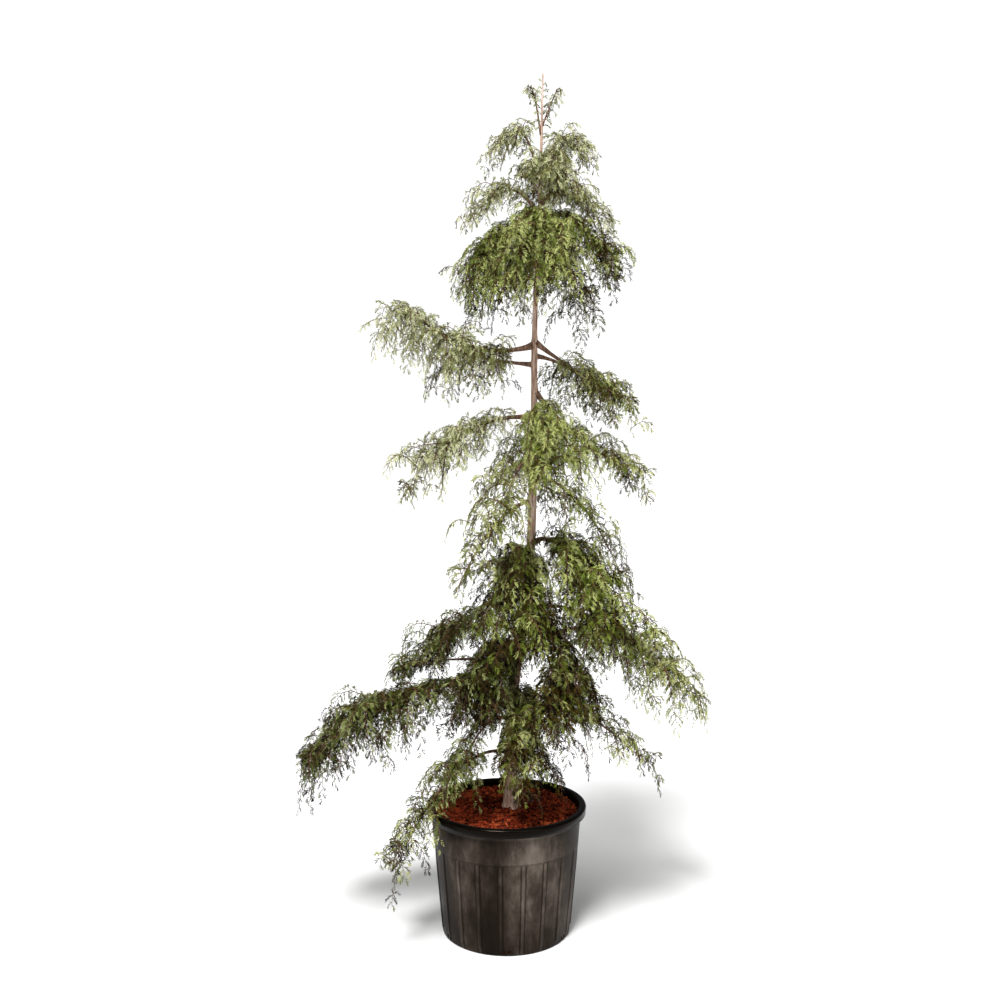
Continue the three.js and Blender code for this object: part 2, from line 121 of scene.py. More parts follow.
# The trunk. How far its centre line lies to the right and to the back, at equal steps from soil to tip
TRUNK_RIGHT = [0.015, 0.026, 0.076, 0.09, 0.093, 0.109, 0.118]
TRUNK_BACK = [0, 0.005, 0.008, 0.002, -0.006, -0.002, 0.003]
TRUNK_RADIUS = 0.021
TRUNK_TIP_RADIUS = 0.0022
FLARE = 0.012
FLARE_HEIGHT = 0.04
FLARE_LOBES = 5
FLARE_LOBE_DEPTH = 0.16
TRUNK_SIDES = 36
TRUNK_RING = 0.006
BARK_RELIEF = 0.0012
BARK_PACE = 3
KNOT_WIDTH = 0.014
KNOT_HEIGHT = 0.008

# The bark's relief. Each set of furrows has its share, its number round the limb, its sway and its twist.
# The waves in which all of them sway have a size, a pace along the limb and a start
FURROWS = [(0.45, 6, 1, 0), (0.35, 11, -1, 17), (0.2, 17, 2, 60)]
WANDER = [(1.9, 11, 0), (0.8, 37, 1)]

# The source's rule of growth: clearances, spaces and sprays. Angles are at a parent's start and at its tip
TWIG_CLEAR = 0.005
TRUNK_ROOM = 0.016
SPACE_MARGIN = 0.04
SPACE_ROOM = 1.5
SPACE_LIFT = 0.6
STEM_SAMPLES = 12
GROUND_CLEAR = 0.06
STEM_TIP_RADIUS = 0.0016
STEM_TAPER = 0.8
SPRAY_THICKNESS = 0.005
SPRAY_PAIRS = 2
SPRAY_TOOTH_LENGTH = 0.054
SPRAY_TAPER = 0.55
SPRAY_ROLL = 50
TOOTH_SWEEP = 0.85
TOOTH_SHARE_OF_SPREAD = 0.42
SWINGS = (78, 34)
PLACE_IN_TURN = 0.35
PLACE_JITTER = 0.5
LAST_PLACE = 0.99
REACH_LEAST = 0.72
REACH_RISE = 0.28
REACH_SHIFT = 0.15
LAST_REACH = 0.8
SHOULDER = 0.8
SHOULDER_RISE = 0.5
SIZES_TO_TRY = [1, 0.8, 0.62, 0.45]
LIMB_SAMPLE_STEP = 0.014
LEAST_BARE = 0.02
FIRST_SEED = 101
LENGTH_SHARES = np.linspace(0, 1, 201)
BOX_SLACK = 0.001

# How widely sprays differ: the jitter of their swing in degrees, then the least and greatest shares of
# spread that they reach and rise, and of hang that they drop. The finer ones keep less strictly to the arch
SPRAY_HABIT = SimpleNamespace(jitter=24, reaches=(0.75, 1.1), rises=(-0.05, 0.4), drops=(0.45, 1.05))
FINER_HABIT = SimpleNamespace(jitter=95, reaches=(0.45, 1.15), rises=(-0.15, 0.9), drops=(0, 1))

# The finer growth that the source's blades stand for: more sprays between them, smaller ones on them,
# side shoots along every twig and needles in two rows along every shoot
SPRAY_BARE = 0.06
BETWEEN_SEED = 1101
BETWEEN_SHARE = 2.5
ON_SPRAY_SEED = 2101
ON_SPRAY_SEED_STEP = 37
ON_SPRAY_BARE = 0.12
ON_SPRAY_SPACING = 0.038
ON_SPRAY_SPREAD = 0.62
ON_SPRAY_HANG = 0.55
SHOOT_SEED = 31
SHOOT_SPACING = 0.0105
SHOOT_JITTER = 0.3
SHOOT_LENGTH = 0.045
SHOOT_LENGTH_SHARES = (0.7, 1.15)
SHOOT_LENGTH_AT_TIP = 0.32
SHOOT_TAPER = (0.5, 3)
SHOOT_TAPER_BEND = 1.5
SHOOT_SHARE_OF_TWIG = 0.45
SHOOT_OPENINGS = (82, 40)
SHOOT_OPENING_JITTER = 9
SHOOT_REACH = 0.88
SHOOT_SHOULDER = (0.65, 0.1)
SHOOT_DROOP = 0.42
SHOOT_DROOP_SHARES = (0.5, 1.2)
SHOOT_TILT = 0.5
LEADER_FOOT = 2.6
LEADER_ACROSS = (0.8, 0.6, 0)
NEEDLE_SEED = 53
NEEDLE_SPACING = 0.0052
NEEDLE_LENGTH = 0.0155
NEEDLE_LENGTH_SHARES = (0.85, 1.1)
NEEDLE_TAPER_FROM_START = (0.62, 1.6)
NEEDLE_TAPER_FROM_TIP = (0.5, 2.2)
NEEDLE_PLACE = 0.6
NEEDLE_WIDTH = 0.0028
NEEDLE_WAIST = 0.45
NEEDLE_LIFTS = (-0.1, 0.25)
NEEDLE_OPENINGS = (28, 15)
NEEDLE_OPENING_JITTER = 15
NEEDLE_TWIST = 0.8
NEEDLE_FOLD = 0.28
NEEDLE_FACES = np.array([(0, 1, 2), (0, 2, 3)])

# Twigs, shoots and boughs as meshes
SPRAY_RADIUS = 0.0022
SPRAY_TIP_RADIUS = 0.0007
SPRAY_RADIUS_LENGTH = 0.2
SPRAY_RADIUS_SHARES = (0.5, 1.1)
SPRAY_SEGMENTS = 5
SHOOT_RADIUS = 0.0008
SHOOT_SEGMENTS = 2
TWIG_SIDES = 3
NEARLY_UPRIGHT = 0.9
BOUGH_SIDES = 8
BOUGH_RING = 0.011
BOUGH_LEAST_RINGS = 8
BOUGH_ROOT = 0.6
BOUGH_RELIEF = 0.09
BOUGH_PACE = 4
COLLAR_FLARE = 0.5
COLLAR_LENGTH = 0.014

# No piece of needles, shoots, twigs or chips holds more faces than this
MOST_FACES = 190_000

# How the shades of a tone are dealt out: by place in the mass, as painted light and shade, and by chance
SHADES = 4
SHADE_SEED = 71
SHADE_JITTER = 0.65
SHADE_CONTRAST = 1.35
SHADE_OUTWARD = 0.4
SHADE_RISE = 0.3
SHADE_DROP = 0.7

# The boughs from the top down, as the source has them, in metres and degrees. The last two columns are for
# the looks alone: how full of finer sprays and how light the photograph shows a mass to be, which scales
# the painted light and shade of its needles
BOUGH_FIELDS = [
    "name", "height", "turn", "reach", "lift", "tip", "bare", "thick", "spread", "hang", "sprays", "tone",
    "full", "light",
]
BOUGHS = [
    ["leader_left", 2.58, 176, 0.034, 0.14, 2.752, 0, 0.0026, 0.03, 0.02, 2, "grey", 1, 1.3],
    ["leader_right", 2.622, 2, 0.05, 0.07, 2.745, 0, 0.0024, 0.028, 0.025, 2, "grey", 1, 1.3],
    ["top_left", 2.44, 184, 0.125, 0.3, 2.5, 0, 0.005, 0.09, 0.065, 8, "grey", 0.6, 1.35],
    ["top_right", 2.478, 8, 0.14, 0.2, 2.52, 0, 0.005, 0.085, 0.065, 7, "grey", 0.9, 1.35],
    ["top_front", 2.418, 285, 0.13, 0.16, 2.385, 0, 0.005, 0.115, 0.125, 8, "grey", 2, 1.2],
    ["top_back", 2.425, 98, 0.16, 0.18, 2.37, 0, 0.005, 0.1, 0.11, 5, "grey", 1, 1],
    ["upper_left", 2.335, 190, 0.19, 0.17, 2.33, 0, 0.006, 0.1, 0.075, 8, "grey", 0.7, 1.4],
    ["upper_right", 2.372, 352, 0.185, 0.12, 2.29, 0, 0.006, 0.1, 0.08, 8, "grey", 1.3, 1.4],
    ["skirt_left", 2.278, 198, 0.165, 0.09, 2.16, 0, 0.006, 0.12, 0.185, 10, "fresh", 2.4, 1.15],
    ["skirt_front", 2.3, 268, 0.16, 0.11, 2.17, 0, 0.006, 0.15, 0.21, 11, "fresh", 3.2, 1.2],
    ["skirt_right", 2.305, 344, 0.175, 0.1, 2.23, 0, 0.006, 0.12, 0.15, 10, "fresh", 2.6, 1.1],
    ["skirt_back_right", 2.232, 52, 0.2, 0.08, 2.11, 0, 0.006, 0.12, 0.17, 6, "olive", 1, 1],
    ["skirt_back_left", 2.208, 128, 0.21, 0.07, 2.09, 0, 0.006, 0.12, 0.17, 6, "olive", 1, 1],
    ["arm_left", 1.925, 184, 0.425, -0.07, 2.05, 0.2, 0.009, 0.115, 0.185, 10, "grey", 1, 1.45],
    ["arm_right", 1.935, 350, 0.265, -0.1, 1.76, 0.32, 0.008, 0.095, 0.13, 7, "olive", 1, 1.2],
    ["arm_back_right", 1.89, 48, 0.33, 0, 1.79, 0.4, 0.008, 0.1, 0.15, 6, "olive", 0.5, 1],
    ["arm_back_left", 1.862, 134, 0.37, 0.02, 1.93, 0.4, 0.008, 0.1, 0.15, 6, "olive", 0.4, 1],
    ["mid_right", 1.778, 351, 0.3, -0.19, 1.53, 0.36, 0.008, 0.105, 0.11, 6, "olive", 1, 1.25],
    ["mid_left", 1.69, 187, 0.33, 0.02, 1.57, 0.2, 0.009, 0.115, 0.2, 9, "grey", 0.9, 1.45],
    ["mid_front", 1.69, 277, 0.185, 0.06, 1.56, 0, 0.007, 0.15, 0.23, 10, "fresh", 1.3, 1.3],
    ["mid_back", 1.615, 82, 0.35, 0.04, 1.46, 0.3, 0.008, 0.13, 0.19, 4, "olive", 1, 1],
    ["mid_front_left", 1.545, 240, 0.23, 0.04, 1.33, 0, 0.007, 0.135, 0.2, 9, "olive", 0.6, 1.3],
    ["wand_right", 1.49, 4, 0.29, 0.02, 1.18, 0.3, 0.006, 0.08, 0.12, 6, "olive", 0.6, 1.4],
    ["droop_left", 1.42, 178, 0.255, -0.02, 1.11, 0, 0.007, 0.125, 0.18, 7, "olive", 0.1, 1.6],
    ["dome_right", 1.275, 312, 0.29, 0.1, 1.04, 0, 0.009, 0.165, 0.21, 11, "fresh", 2.2, 0.9],
    ["high_back", 1.225, 100, 0.4, 0.07, 1.02, 0.2, 0.009, 0.16, 0.19, 6, "dark", 0.8, 1],
    ["dome_front", 1.225, 268, 0.175, 0.11, 1, 0, 0.008, 0.17, 0.23, 11, "fresh", 2.8, 0.85],
    ["clump_left", 1.085, 190, 0.275, 0.07, 0.92, 0, 0.008, 0.15, 0.19, 9, "dark", 1.7, 0.9],
    ["back_right", 1.035, 42, 0.43, 0.09, 0.88, 0.25, 0.009, 0.15, 0.18, 6, "olive", 0.7, 1],
    ["back_left", 0.98, 142, 0.45, 0.08, 0.81, 0.25, 0.009, 0.15, 0.18, 6, "dark", 0.8, 1],
    ["heart_right", 1.01, 300, 0.215, 0.08, 0.8, 0, 0.007, 0.16, 0.215, 11, "olive", 3.8, 0.85],
    ["reach_right", 0.905, 356, 0.545, 0.24, 0.79, 0.3, 0.011, 0.13, 0.19, 10, "olive", 1, 1.3],
    ["stub_left", 0.88, 172, 0.385, 0.03, 0.86, 0.56, 0.007, 0.11, 0.1, 5, "dark", 1, 0.8],
    ["low_front", 0.77, 272, 0.175, 0.08, 0.62, 0, 0.008, 0.16, 0.16, 10, "olive", 3.4, 0.9],
    ["heart_left", 0.945, 234, 0.215, 0.06, 0.75, 0, 0.007, 0.155, 0.2, 10, "dark", 3.8, 0.8],
    ["reach_left", 0.765, 183, 0.625, 0.15, 0.59, 0.2, 0.012, 0.15, 0.21, 11, "dark", 1.8, 0.85],
    ["low_right", 0.735, 342, 0.42, 0.07, 0.61, 0.3, 0.009, 0.115, 0.12, 8, "olive", 0.6, 1],
    ["low_back", 0.705, 88, 0.4, 0.06, 0.58, 0.28, 0.009, 0.14, 0.14, 5, "dark", 0.8, 1],
    ["low_front_left", 0.69, 236, 0.3, 0.09, 0.59, 0, 0.008, 0.13, 0.14, 7, "dark", 1.4, 0.9],
    ["low_left", 0.585, 203, 0.37, 0.07, 0.32, 0.3, 0.007, 0.085, 0.165, 8, "olive", 1, 1],
]

# Colours as red, green and blue in linear light. The needles' colours and shine run from the darkest shade
# to the lightest, which stand for painted shade and painted light as well as tone that differs at random.
# Twigs, shoots, bark and soil have a main colour, then one for its hollows, and bark also one for its worn
# edges. The pot's run from clean black to its palest dust
NEEDLE_COLOURS = {
    "grey": [(0.012, 0.009, 0.002), (0.068, 0.056, 0.012), (0.18, 0.198, 0.064), (0.415, 0.425, 0.23)],
    "olive": [(0.004, 0.003, 0.001), (0.031, 0.021, 0.002), (0.088, 0.108, 0.013), (0.285, 0.302, 0.102)],
    "fresh": [(0.005, 0.003, 0.001), (0.029, 0.023, 0.002), (0.098, 0.128, 0.013), (0.298, 0.328, 0.1)],
    "dark": [(0.003, 0.002, 0.001), (0.018, 0.013, 0.001), (0.048, 0.062, 0.007), (0.165, 0.186, 0.058)],
}
NEEDLE_SHINE = (0.03, 0.06, 0.14, 0.24)
TWIG_COLOURS = ((0.105, 0.05, 0.026), (0.038, 0.019, 0.01))
SHOOT_COLOURS = ((0.052, 0.036, 0.012), TWIG_COLOURS[0])
BARK_COLOURS = ((0.44, 0.285, 0.21), (0.145, 0.08, 0.052), (0.62, 0.49, 0.405))
YOUNG_BARK_COLOURS = ((0.17, 0.095, 0.062), (0.055, 0.028, 0.017), (0.29, 0.195, 0.145))
POT_COLOURS = [
    (0.002, 0.0014, 0.001), (0.0065, 0.0044, 0.0031), (0.017, 0.0122, 0.009), (0.037, 0.0285, 0.0225),
    (0.12, 0.098, 0.082),
]

# How dusty the pot is: where each of its colours stands and what the smears and the band add. A painted
# highlight along each rib's middle adds to it, and painted shade beside the ribs takes off. The rim is
# clean
DUST_STOPS = (0.38, 0.59, 0.68, 0.77, 0.94)
SMEAR_SHARE = 0.35
BAND_DUST = 0.05
RIB_PAINTED_HIGHLIGHT = 0.04
RIB_PAINTED_SHADE = 0.1
RIM_CLEANED = 1
PAINTED_SHADE_HALF_WIDTH = 0.0022
POT_ROUGHNESS = (0.2, 0.6)
POT_SHINE_TINT = (0.96, 0.8, 0.66)

SOIL_COLOURS = ((0.06, 0.018, 0.01), (0.02, 0.008, 0.005))
CHIP_COLOURS = [(0.25, 0.034, 0.009), (0.15, 0.018, 0.006), (0.33, 0.062, 0.019), (0.075, 0.01, 0.003)]
CHIP_SHADOW = 0.45

# Camera, floor and light
CAMERA_PLACE = (-0.02, -3.4, 1.57)
CAMERA_DOWN = 2.5
CAMERA_LENS = 37.44
SENSOR_WIDTH = 36
FLOOR_SIZE = 200
WHITE = (1, 1, 1)
ROOM_LIGHT = 0.15
ROOM_SEEN = 1.9
FLOOR_COLOUR = (0.6, 0.6, 0.598)

# The soft lights: how high each stands and from which turn it comes, its strength and how wide it spreads
LIGHTS = {
    "key": (56, 250, 5.4, 16),
    "overhead": (82, 270, 2, 50),
    "fill": (34, 306, 0.8, 34),
}


# Small helpers
def mix(start, end, share):
    return start + (end - start) * share


def unit(vectors):
    length = np.linalg.norm(vectors, axis=-1, keepdims=True)
    return vectors / np.maximum(length, 1e-12)


def turns(count):
    """Angles evenly round a circle."""
    return np.arange(count) * 2 * math.pi / count


def turned(x, y, angle):
    """A pair of coordinates turned by an angle."""
    return x * np.cos(angle) - y * np.sin(angle), x * np.sin(angle) + y * np.cos(angle)


def heading_at(turn):
    """The level direction of a turn in radians."""
    return np.array([math.cos(turn), math.sin(turn), 0])


def tapered(along, least, rise):
    """Shares that rise steadily from least to 1."""
    return np.minimum(1, least + rise * along)


def square_to(across, ahead):
    """across made square to ahead, with length 1."""
    return unit(across - np.sum(across * ahead, axis=-1, keepdims=True) * ahead)


def seeded(seed):
    """The source's repeatable stream of numbers from 0 to 1 for one seed."""
    top = 0xFFFFFFFF
    state = seed & top

    def draw():
        nonlocal state
        state = (state + 0x6D2B79F5) & top
        word = ((state ^ (state >> 15)) * (state | 1)) & top
        word ^= (word + (((word ^ (word >> 7)) * (word | 61)) & top)) & top
        return ((word ^ (word >> 14)) & top) / (top + 1)

    return draw


# Curves: three control points each, and a share of the curve for each point wanted
def bezier(curve, share):
    share = np.asarray(share, float)[..., None]
    a, b, c = np.moveaxis(curve, -2, 0)
    return (1 - share) ** 2 * a + 2 * (1 - share) * share * b + share ** 2 * c


def bezier_ahead(curve, share):
    share = np.asarray(share, float)[..., None]
    a, b, c = np.moveaxis(curve, -2, 0)
    return unit((1 - share) * (b - a) + share * (c - b))


def line_length(points):
    return np.linalg.norm(np.diff(points, axis=0), axis=1).sum()


def bezier_length(curve):
    return line_length(bezier(curve, LENGTH_SHARES))


# The trunk's line, from soil to tip
def trunk_share(height):
    return (height - SOIL_LEVEL) / (TREE_TOP - SOIL_LEVEL)


def trunk_point(share):
    """The trunk's centre at shares of its height, on one smooth curve through the points above."""
    share = np.atleast_1d(np.asarray(share, float))
    knots = np.stack([TRUNK_RIGHT, TRUNK_BACK], axis=1)
    knots = np.vstack([2 * knots[0] - knots[1], knots, 2 * knots[-1] - knots[-2]])
    place = np.clip(share, 0, 1) * (len(TRUNK_RIGHT) - 1)
    first = np.minimum(place.astype(int), len(TRUNK_RIGHT) - 2)
    t = (place - first)[:, None]
    before, here, there, after = (knots[first + step] for step in range(4))
    start, end = (there - before) / 2, (after - here) / 2
    flat = here + start * t + (3 * (there - here) - 2 * start - end) * t ** 2
    flat += (2 * (here - there) + start + end) * t ** 3
    return np.column_stack([flat, mix(SOIL_LEVEL, TREE_TOP, share)])


def flare_at(share):
    return np.exp(-share * (TREE_TOP - SOIL_LEVEL) / FLARE_HEIGHT)


def trunk_radius(share):
    return mix(TRUNK_RADIUS, TRUNK_TIP_RADIUS, share) + FLARE * flare_at(share)


# The boughs and the spaces of their masses, as in the source
def bough_radius(row, share):
    return mix(row.thick, STEM_TIP_RADIUS, np.asarray(share, float) ** STEM_TAPER)


def make_row(index, values):
    """One bough's values from the table with what follows from them: its curve and its leafy part."""
    row = SimpleNamespace(**dict(zip(BOUGH_FIELDS, values)))
    row.index = index
    row.seed = FIRST_SEED + index
    row.turn = math.radians(row.turn)
    start = trunk_point(trunk_share(row.height))[0]
    heading = heading_at(row.turn)
    crest = start + heading * row.reach / 2
    crest[2] = row.height + row.lift
    end = start + heading * row.reach
    end[2] = row.tip
    row.curve = np.array([start, crest, end])
    row.across = np.array([-math.sin(row.turn), math.cos(row.turn), 0])
    row.in_trunk = trunk_radius(trunk_share(row.height))
    row.leafy = max(row.bare, (row.in_trunk + TRUNK_ROOM) / row.reach)
    row.carries_on = True
    row.habit = SPRAY_HABIT
    return row


ROWS = [make_row(index, values) for index, values in enumerate(BOUGHS)]
SPACE_SAMPLES = np.stack([bezier(row.curve, np.linspace(row.leafy, 1, STEM_SAMPLES + 1)) for row in ROWS])
SPACE_WIDTHS = np.array([SPACE_ROOM * row.spread for row in ROWS])[:, None]
SPACE_DEPTHS = np.array([SPACE_ROOM * row.hang for row in ROWS])[:, None]
SPACE_HEIGHTS = SPACE_WIDTHS * SPACE_LIFT


def measures(points):
    """How far each point lies from each row's stem, in the measure of that row's spread and hang."""
    offset = points[:, None, None, :] - SPACE_SAMPLES
    upright = offset[..., 2]
    tall = np.where(upright < 0, SPACE_DEPTHS, SPACE_HEIGHTS)
    sideways = np.hypot(offset[..., 0], offset[..., 1]) / SPACE_WIDTHS
    return np.hypot(sideways, upright / tall).min(axis=2)


def in_own_space(owners, points):
    far = measures(points)
    order = np.arange(len(points))
    own = far[order, owners].copy()
    far[order, owners] = np.inf
    return (own <= 1) & (far.min(axis=1) > own + SPACE_MARGIN)


def sampled(centre_at, radius_at, length, start, end, owner):
    count = math.ceil(length * (end - start) / LIMB_SAMPLE_STEP)
    share = mix(start, end, np.arange(count + 1) / count)
    return centre_at(share), radius_at(share), np.full(count + 1, owner)


def limb_samples():
    """Balls along every limb that a twig has to keep clear of, with the row that each stem belongs to."""
    length = line_length(trunk_point(LENGTH_SHARES))
    parts = [sampled(trunk_point, trunk_radius, length, 0, 1, -1)]
    for row in ROWS:
        centre_at, radius_at = partial(bezier, row.curve), partial(bough_radius, row)
        length = bezier_length(row.curve)
        parts.append(sampled(centre_at, radius_at, length, 0, max(row.bare, LEAST_BARE), -1))
        parts.append(sampled(centre_at, radius_at, length, row.bare, 1, row.index))
    return [np.concatenate(column) for column in zip(*parts)]


LIMB_CENTRES, LIMB_RADII, LIMB_OWNERS = limb_samples()


def clear_of_limbs(owners, points):
    room = LIMB_RADII + TWIG_CLEAR + LIMB_SAMPLE_STEP / 4
    near = ((points[:, None, :] - LIMB_CENTRES) ** 2).sum(axis=2) < room ** 2
    return ~np.any(near & (LIMB_OWNERS != owners[:, None]), axis=1)


def clear_of_pot_and_ground(points):
    radial = np.hypot(points[:, 0], points[:, 1])
    height = points[:, 2]
    room = 2 * TWIG_CLEAR
    over_soil = (radial < MOUTH_RADIUS - room) & (height > SOIL_LEVEL + room)
    beside_pot = (radial < RIM_RADIUS + room) & (height < POT_HEIGHT + room)
    return (height >= GROUND_CLEAR) & ~(beside_pot & ~over_soil)


def within_cad_box(points, slack):
    low, high = np.array(CAD_BOX[0]) - slack, np.array(CAD_BOX[1]) + slack
    return np.all((points > low) & (points < high), axis=1)


def is_free(owners, points, slack=BOX_SLACK):
    """True for each point that is in its owner's space and clear of limbs, pot and ground."""
    free = clear_of_pot_and_ground(points) & within_cad_box(points, slack)
    batch = 2000
    for start in range(0, len(points), batch):
        part = slice(start, start + batch)
        free[part] &= clear_of_limbs(owners[part], points[part])
        free[part] &= in_own_space(owners[part], points[part])
    return free


# The rule of growth: sprays leave their parent left and right in turn, arch out, and hang
def spray_curve(parent, draw, index, size):
    """The curve and the heading of one spray, from its base on the parent over its shoulder to its tip."""
    last = parent.carries_on and index == parent.sprays - 1
    along = 1 if last else (index + PLACE_IN_TURN + PLACE_JITTER * draw.along) / parent.sprays
    share = mix(parent.leafy, 1, along * LAST_PLACE)
    base = bezier(parent.curve, share)
    ahead = bezier_ahead(parent.curve, share)
    side = 1 if index % 2 == 0 else -1
    opening = mix(*SWINGS, along) + parent.habit.jitter * (draw.swing - 0.5)
    heading = parent.turn + (0 if last else side * math.radians(opening))
    flat = heading_at(heading)
    full = REACH_LEAST + REACH_RISE * math.sin(math.pi * min(1, along + REACH_SHIFT))
    reach = size * parent.spread * full * mix(*parent.habit.reaches, draw.reach)
    if last:
        reach *= LAST_REACH
    rise = size * parent.spread * mix(*parent.habit.rises, draw.rise)
    drop = size * parent.hang * mix(*parent.habit.drops, draw.drop)
    shoulder = base + flat * reach * SHOULDER
    shoulder[2] += rise + max(0, ahead[2]) * reach * SHOULDER_RISE
    end = base + flat * reach
    end[2] -= drop
    return np.array([base, shoulder, end]), heading


def spray_across(curve, roll):
    """The direction in which a spray's side shoots lie: level, then rolled about the spray's own line."""
    line = curve[2] - curve[0]
    level = unit(np.array([-line[1], line[0], 0]))
    line = unit(line)
    return level * math.cos(roll) + np.cross(line, level) * math.sin(roll)


def blade_points(curve, across, tooth):
    """The ridge and the teeth of the source's blade, which have to be free for the spray to grow."""
    share = np.arange(SPRAY_PAIRS + 1) / SPRAY_PAIRS
    ahead = bezier_ahead(curve, share)
    side = square_to(across, ahead)
    normal = np.cross(ahead, side)
    ridge = bezier(curve, share) + normal * (SPRAY_THICKNESS / 2 * (1 - share))[:, None]
    tips = bezier(curve, (np.arange(SPRAY_PAIRS) + TOOTH_SWEEP) / SPRAY_PAIRS)
    reach = side[:-1] * (tooth * (1 - SPRAY_TAPER * share[:-1]))[:, None]
    return np.vstack([ridge[1:], tips + reach, tips - reach])


def grow(parent, row, seed, tooth):
    """The sprays of one parent. Every number is drawn before the tests, as in the source."""
    random = seeded(seed)
    sprays = []
    for index in range(parent.sprays):
        draw = SimpleNamespace(
            along=random(), swing=random(), reach=random(), rise=random(), drop=random(), roll=random(),
        )
        for size in SIZES_TO_TRY:
            curve, heading = spray_curve(parent, draw, index, size)
            across = spray_across(curve, math.radians(mix(-SPRAY_ROLL, SPRAY_ROLL, draw.roll)))
            outer = blade_points(curve, across, tooth)
            if is_free(np.full(len(outer), row.index), outer).all():
                sprays.append(SimpleNamespace(
                    row=row, curve=curve, across=across, turn=heading, leafy=SPRAY_BARE,
                    length=bezier_length(curve), shade=painted_shade_of(row, curve, draw.roll),
                ))
                break
    return sprays


def painted_shade_of(row, curve, chance):
    """Which of its tone's shades a spray gets: darker inside and low in its mass as painted shade, lighter
    high and outward as painted light, and partly by chance.
    """
    middle = bezier(curve, 0.5)
    trunk = trunk_point(trunk_share(middle[2]))[0]
    outward = math.hypot(middle[0] - trunk[0], middle[1] - trunk[1]) / (row.reach + row.spread)
    stem = SPACE_SAMPLES[row.index, :, 2]
    highest = stem.max() + SHADE_RISE * row.spread
    upward = 1 - (highest - middle[2]) / (highest - stem.min() + SHADE_DROP * row.hang)
    # Painted light and shade: lighter high in the mass and outward, darker low and inside, scaled by the
    # row's light
    light = mix(upward, outward, SHADE_OUTWARD) * row.light
    light = 0.5 + SHADE_CONTRAST * (light - 0.5) + SHADE_JITTER * (chance - 0.5)
    return min(max(int(SHADES * light), 0), SHADES - 1)


def finer_parents(row, sprays):
    """What carries the finer sprays: the stem again, and each of the source's own sprays."""
    stem = SimpleNamespace(**vars(row))
    stem.carries_on = False
    stem.habit = FINER_HABIT
    stem.sprays = round(BETWEEN_SHARE * row.sprays * row.full)
    stem.seed = BETWEEN_SEED + row.index
    parents = [stem]
    for number, spray in enumerate(sprays):
        parents.append(SimpleNamespace(
            curve=spray.curve, leafy=ON_SPRAY_BARE, turn=spray.turn, carries_on=False, habit=FINER_HABIT,
            spread=ON_SPRAY_SPREAD * spray.length, hang=ON_SPRAY_HANG * row.hang,
            sprays=round(row.full * spray.length / ON_SPRAY_SPACING),
            seed=ON_SPRAY_SEED + ON_SPRAY_SEED_STEP * row.index + number,
        ))
    return parents


def grow_row(row):
    """All the sprays of one mass: the source's own, those between them and those on them."""
    tooth = min(SPRAY_TOOTH_LENGTH, TOOTH_SHARE_OF_SPREAD * row.spread)
    sprays = grow(row, row, row.seed, tooth)
    finer = []
    for parent in finer_parents(row, sprays):
        finer += grow(parent, row, parent.seed, tooth / 2)
    return sprays + finer


def stem_twig(row):
    return SimpleNamespace(
        row=row, curve=row.curve, across=row.across, leafy=row.leafy,
        length=bezier_length(row.curve), shade=row.index % SHADES,
    )


def leader_twig():
    """The trunk's own thin top, which carries shoots like a twig."""
    share = trunk_share(np.array([LEADER_FOOT, (LEADER_FOOT + TREE_TOP) / 2, TREE_TOP]))
    foot, middle, tip = trunk_point(share)
    curve = np.array([foot, 2 * middle - (foot + tip) / 2, tip])
    return SimpleNamespace(
        row=ROWS[0], curve=curve, across=np.array(LEADER_ACROSS), leafy=0, length=TREE_TOP - LEADER_FOOT,
        # The lightest shade, as painted light at the top of the tree
        shade=SHADES - 1,
    )


def left_and_right(numbers):
    """1 for even numbers and -1 for odd ones, as a column."""
    return np.where(numbers % 2 == 0, 1, -1)[:, None]


def opened(ahead, side, angles, jitter, along, random):
    """Directions between ahead and side, by angles that run from a parent's start to its tip."""
    angle = np.radians(mix(*angles, along) + random.uniform(-jitter, jitter, len(along)))[:, None]
    return np.cos(angle) * ahead + np.sin(angle) * side


def shoots_on(twig, number, random):
    """Side shoots left and right in turn along one twig, each a short arch that hangs a little."""
    leafy_length = twig.length * (1 - twig.leafy)
    count = max(2, int(leafy_length / SHOOT_SPACING))
    along = (np.arange(count) + 0.5 + random.uniform(-SHOOT_JITTER, SHOOT_JITTER, count)) / count
    share = mix(twig.leafy, 1, along)
    ahead = bezier_ahead(twig.curve, share)
    side = square_to(twig.across, ahead) * left_and_right(np.arange(count))
    heading = opened(ahead, side, SHOOT_OPENINGS, SHOOT_OPENING_JITTER, along, random)
    full = min(SHOOT_LENGTH, SHOOT_SHARE_OF_TWIG * leafy_length)
    taper = mix(1, SHOOT_LENGTH_AT_TIP, along ** SHOOT_TAPER_BEND) * tapered(along, *SHOOT_TAPER)
    length = (full * taper * random.uniform(*SHOOT_LENGTH_SHARES, count))[:, None]
    base = bezier(twig.curve, share)
    up = np.array([0, 0, 1])
    droop = up * length * random.uniform(*SHOOT_DROOP_SHARES, count)[:, None] * SHOOT_DROOP
    shoulder = base + heading * length * SHOOT_SHOULDER[0] + up * SHOOT_SHOULDER[1] * length
    end = base + heading * length * SHOOT_REACH - droop
    normal = np.cross(ahead, side) + random.uniform(-SHOOT_TILT, SHOOT_TILT, (count, 3))
    return np.stack([base, shoulder, end], axis=1), normal, length[:, 0], np.full(count, number)


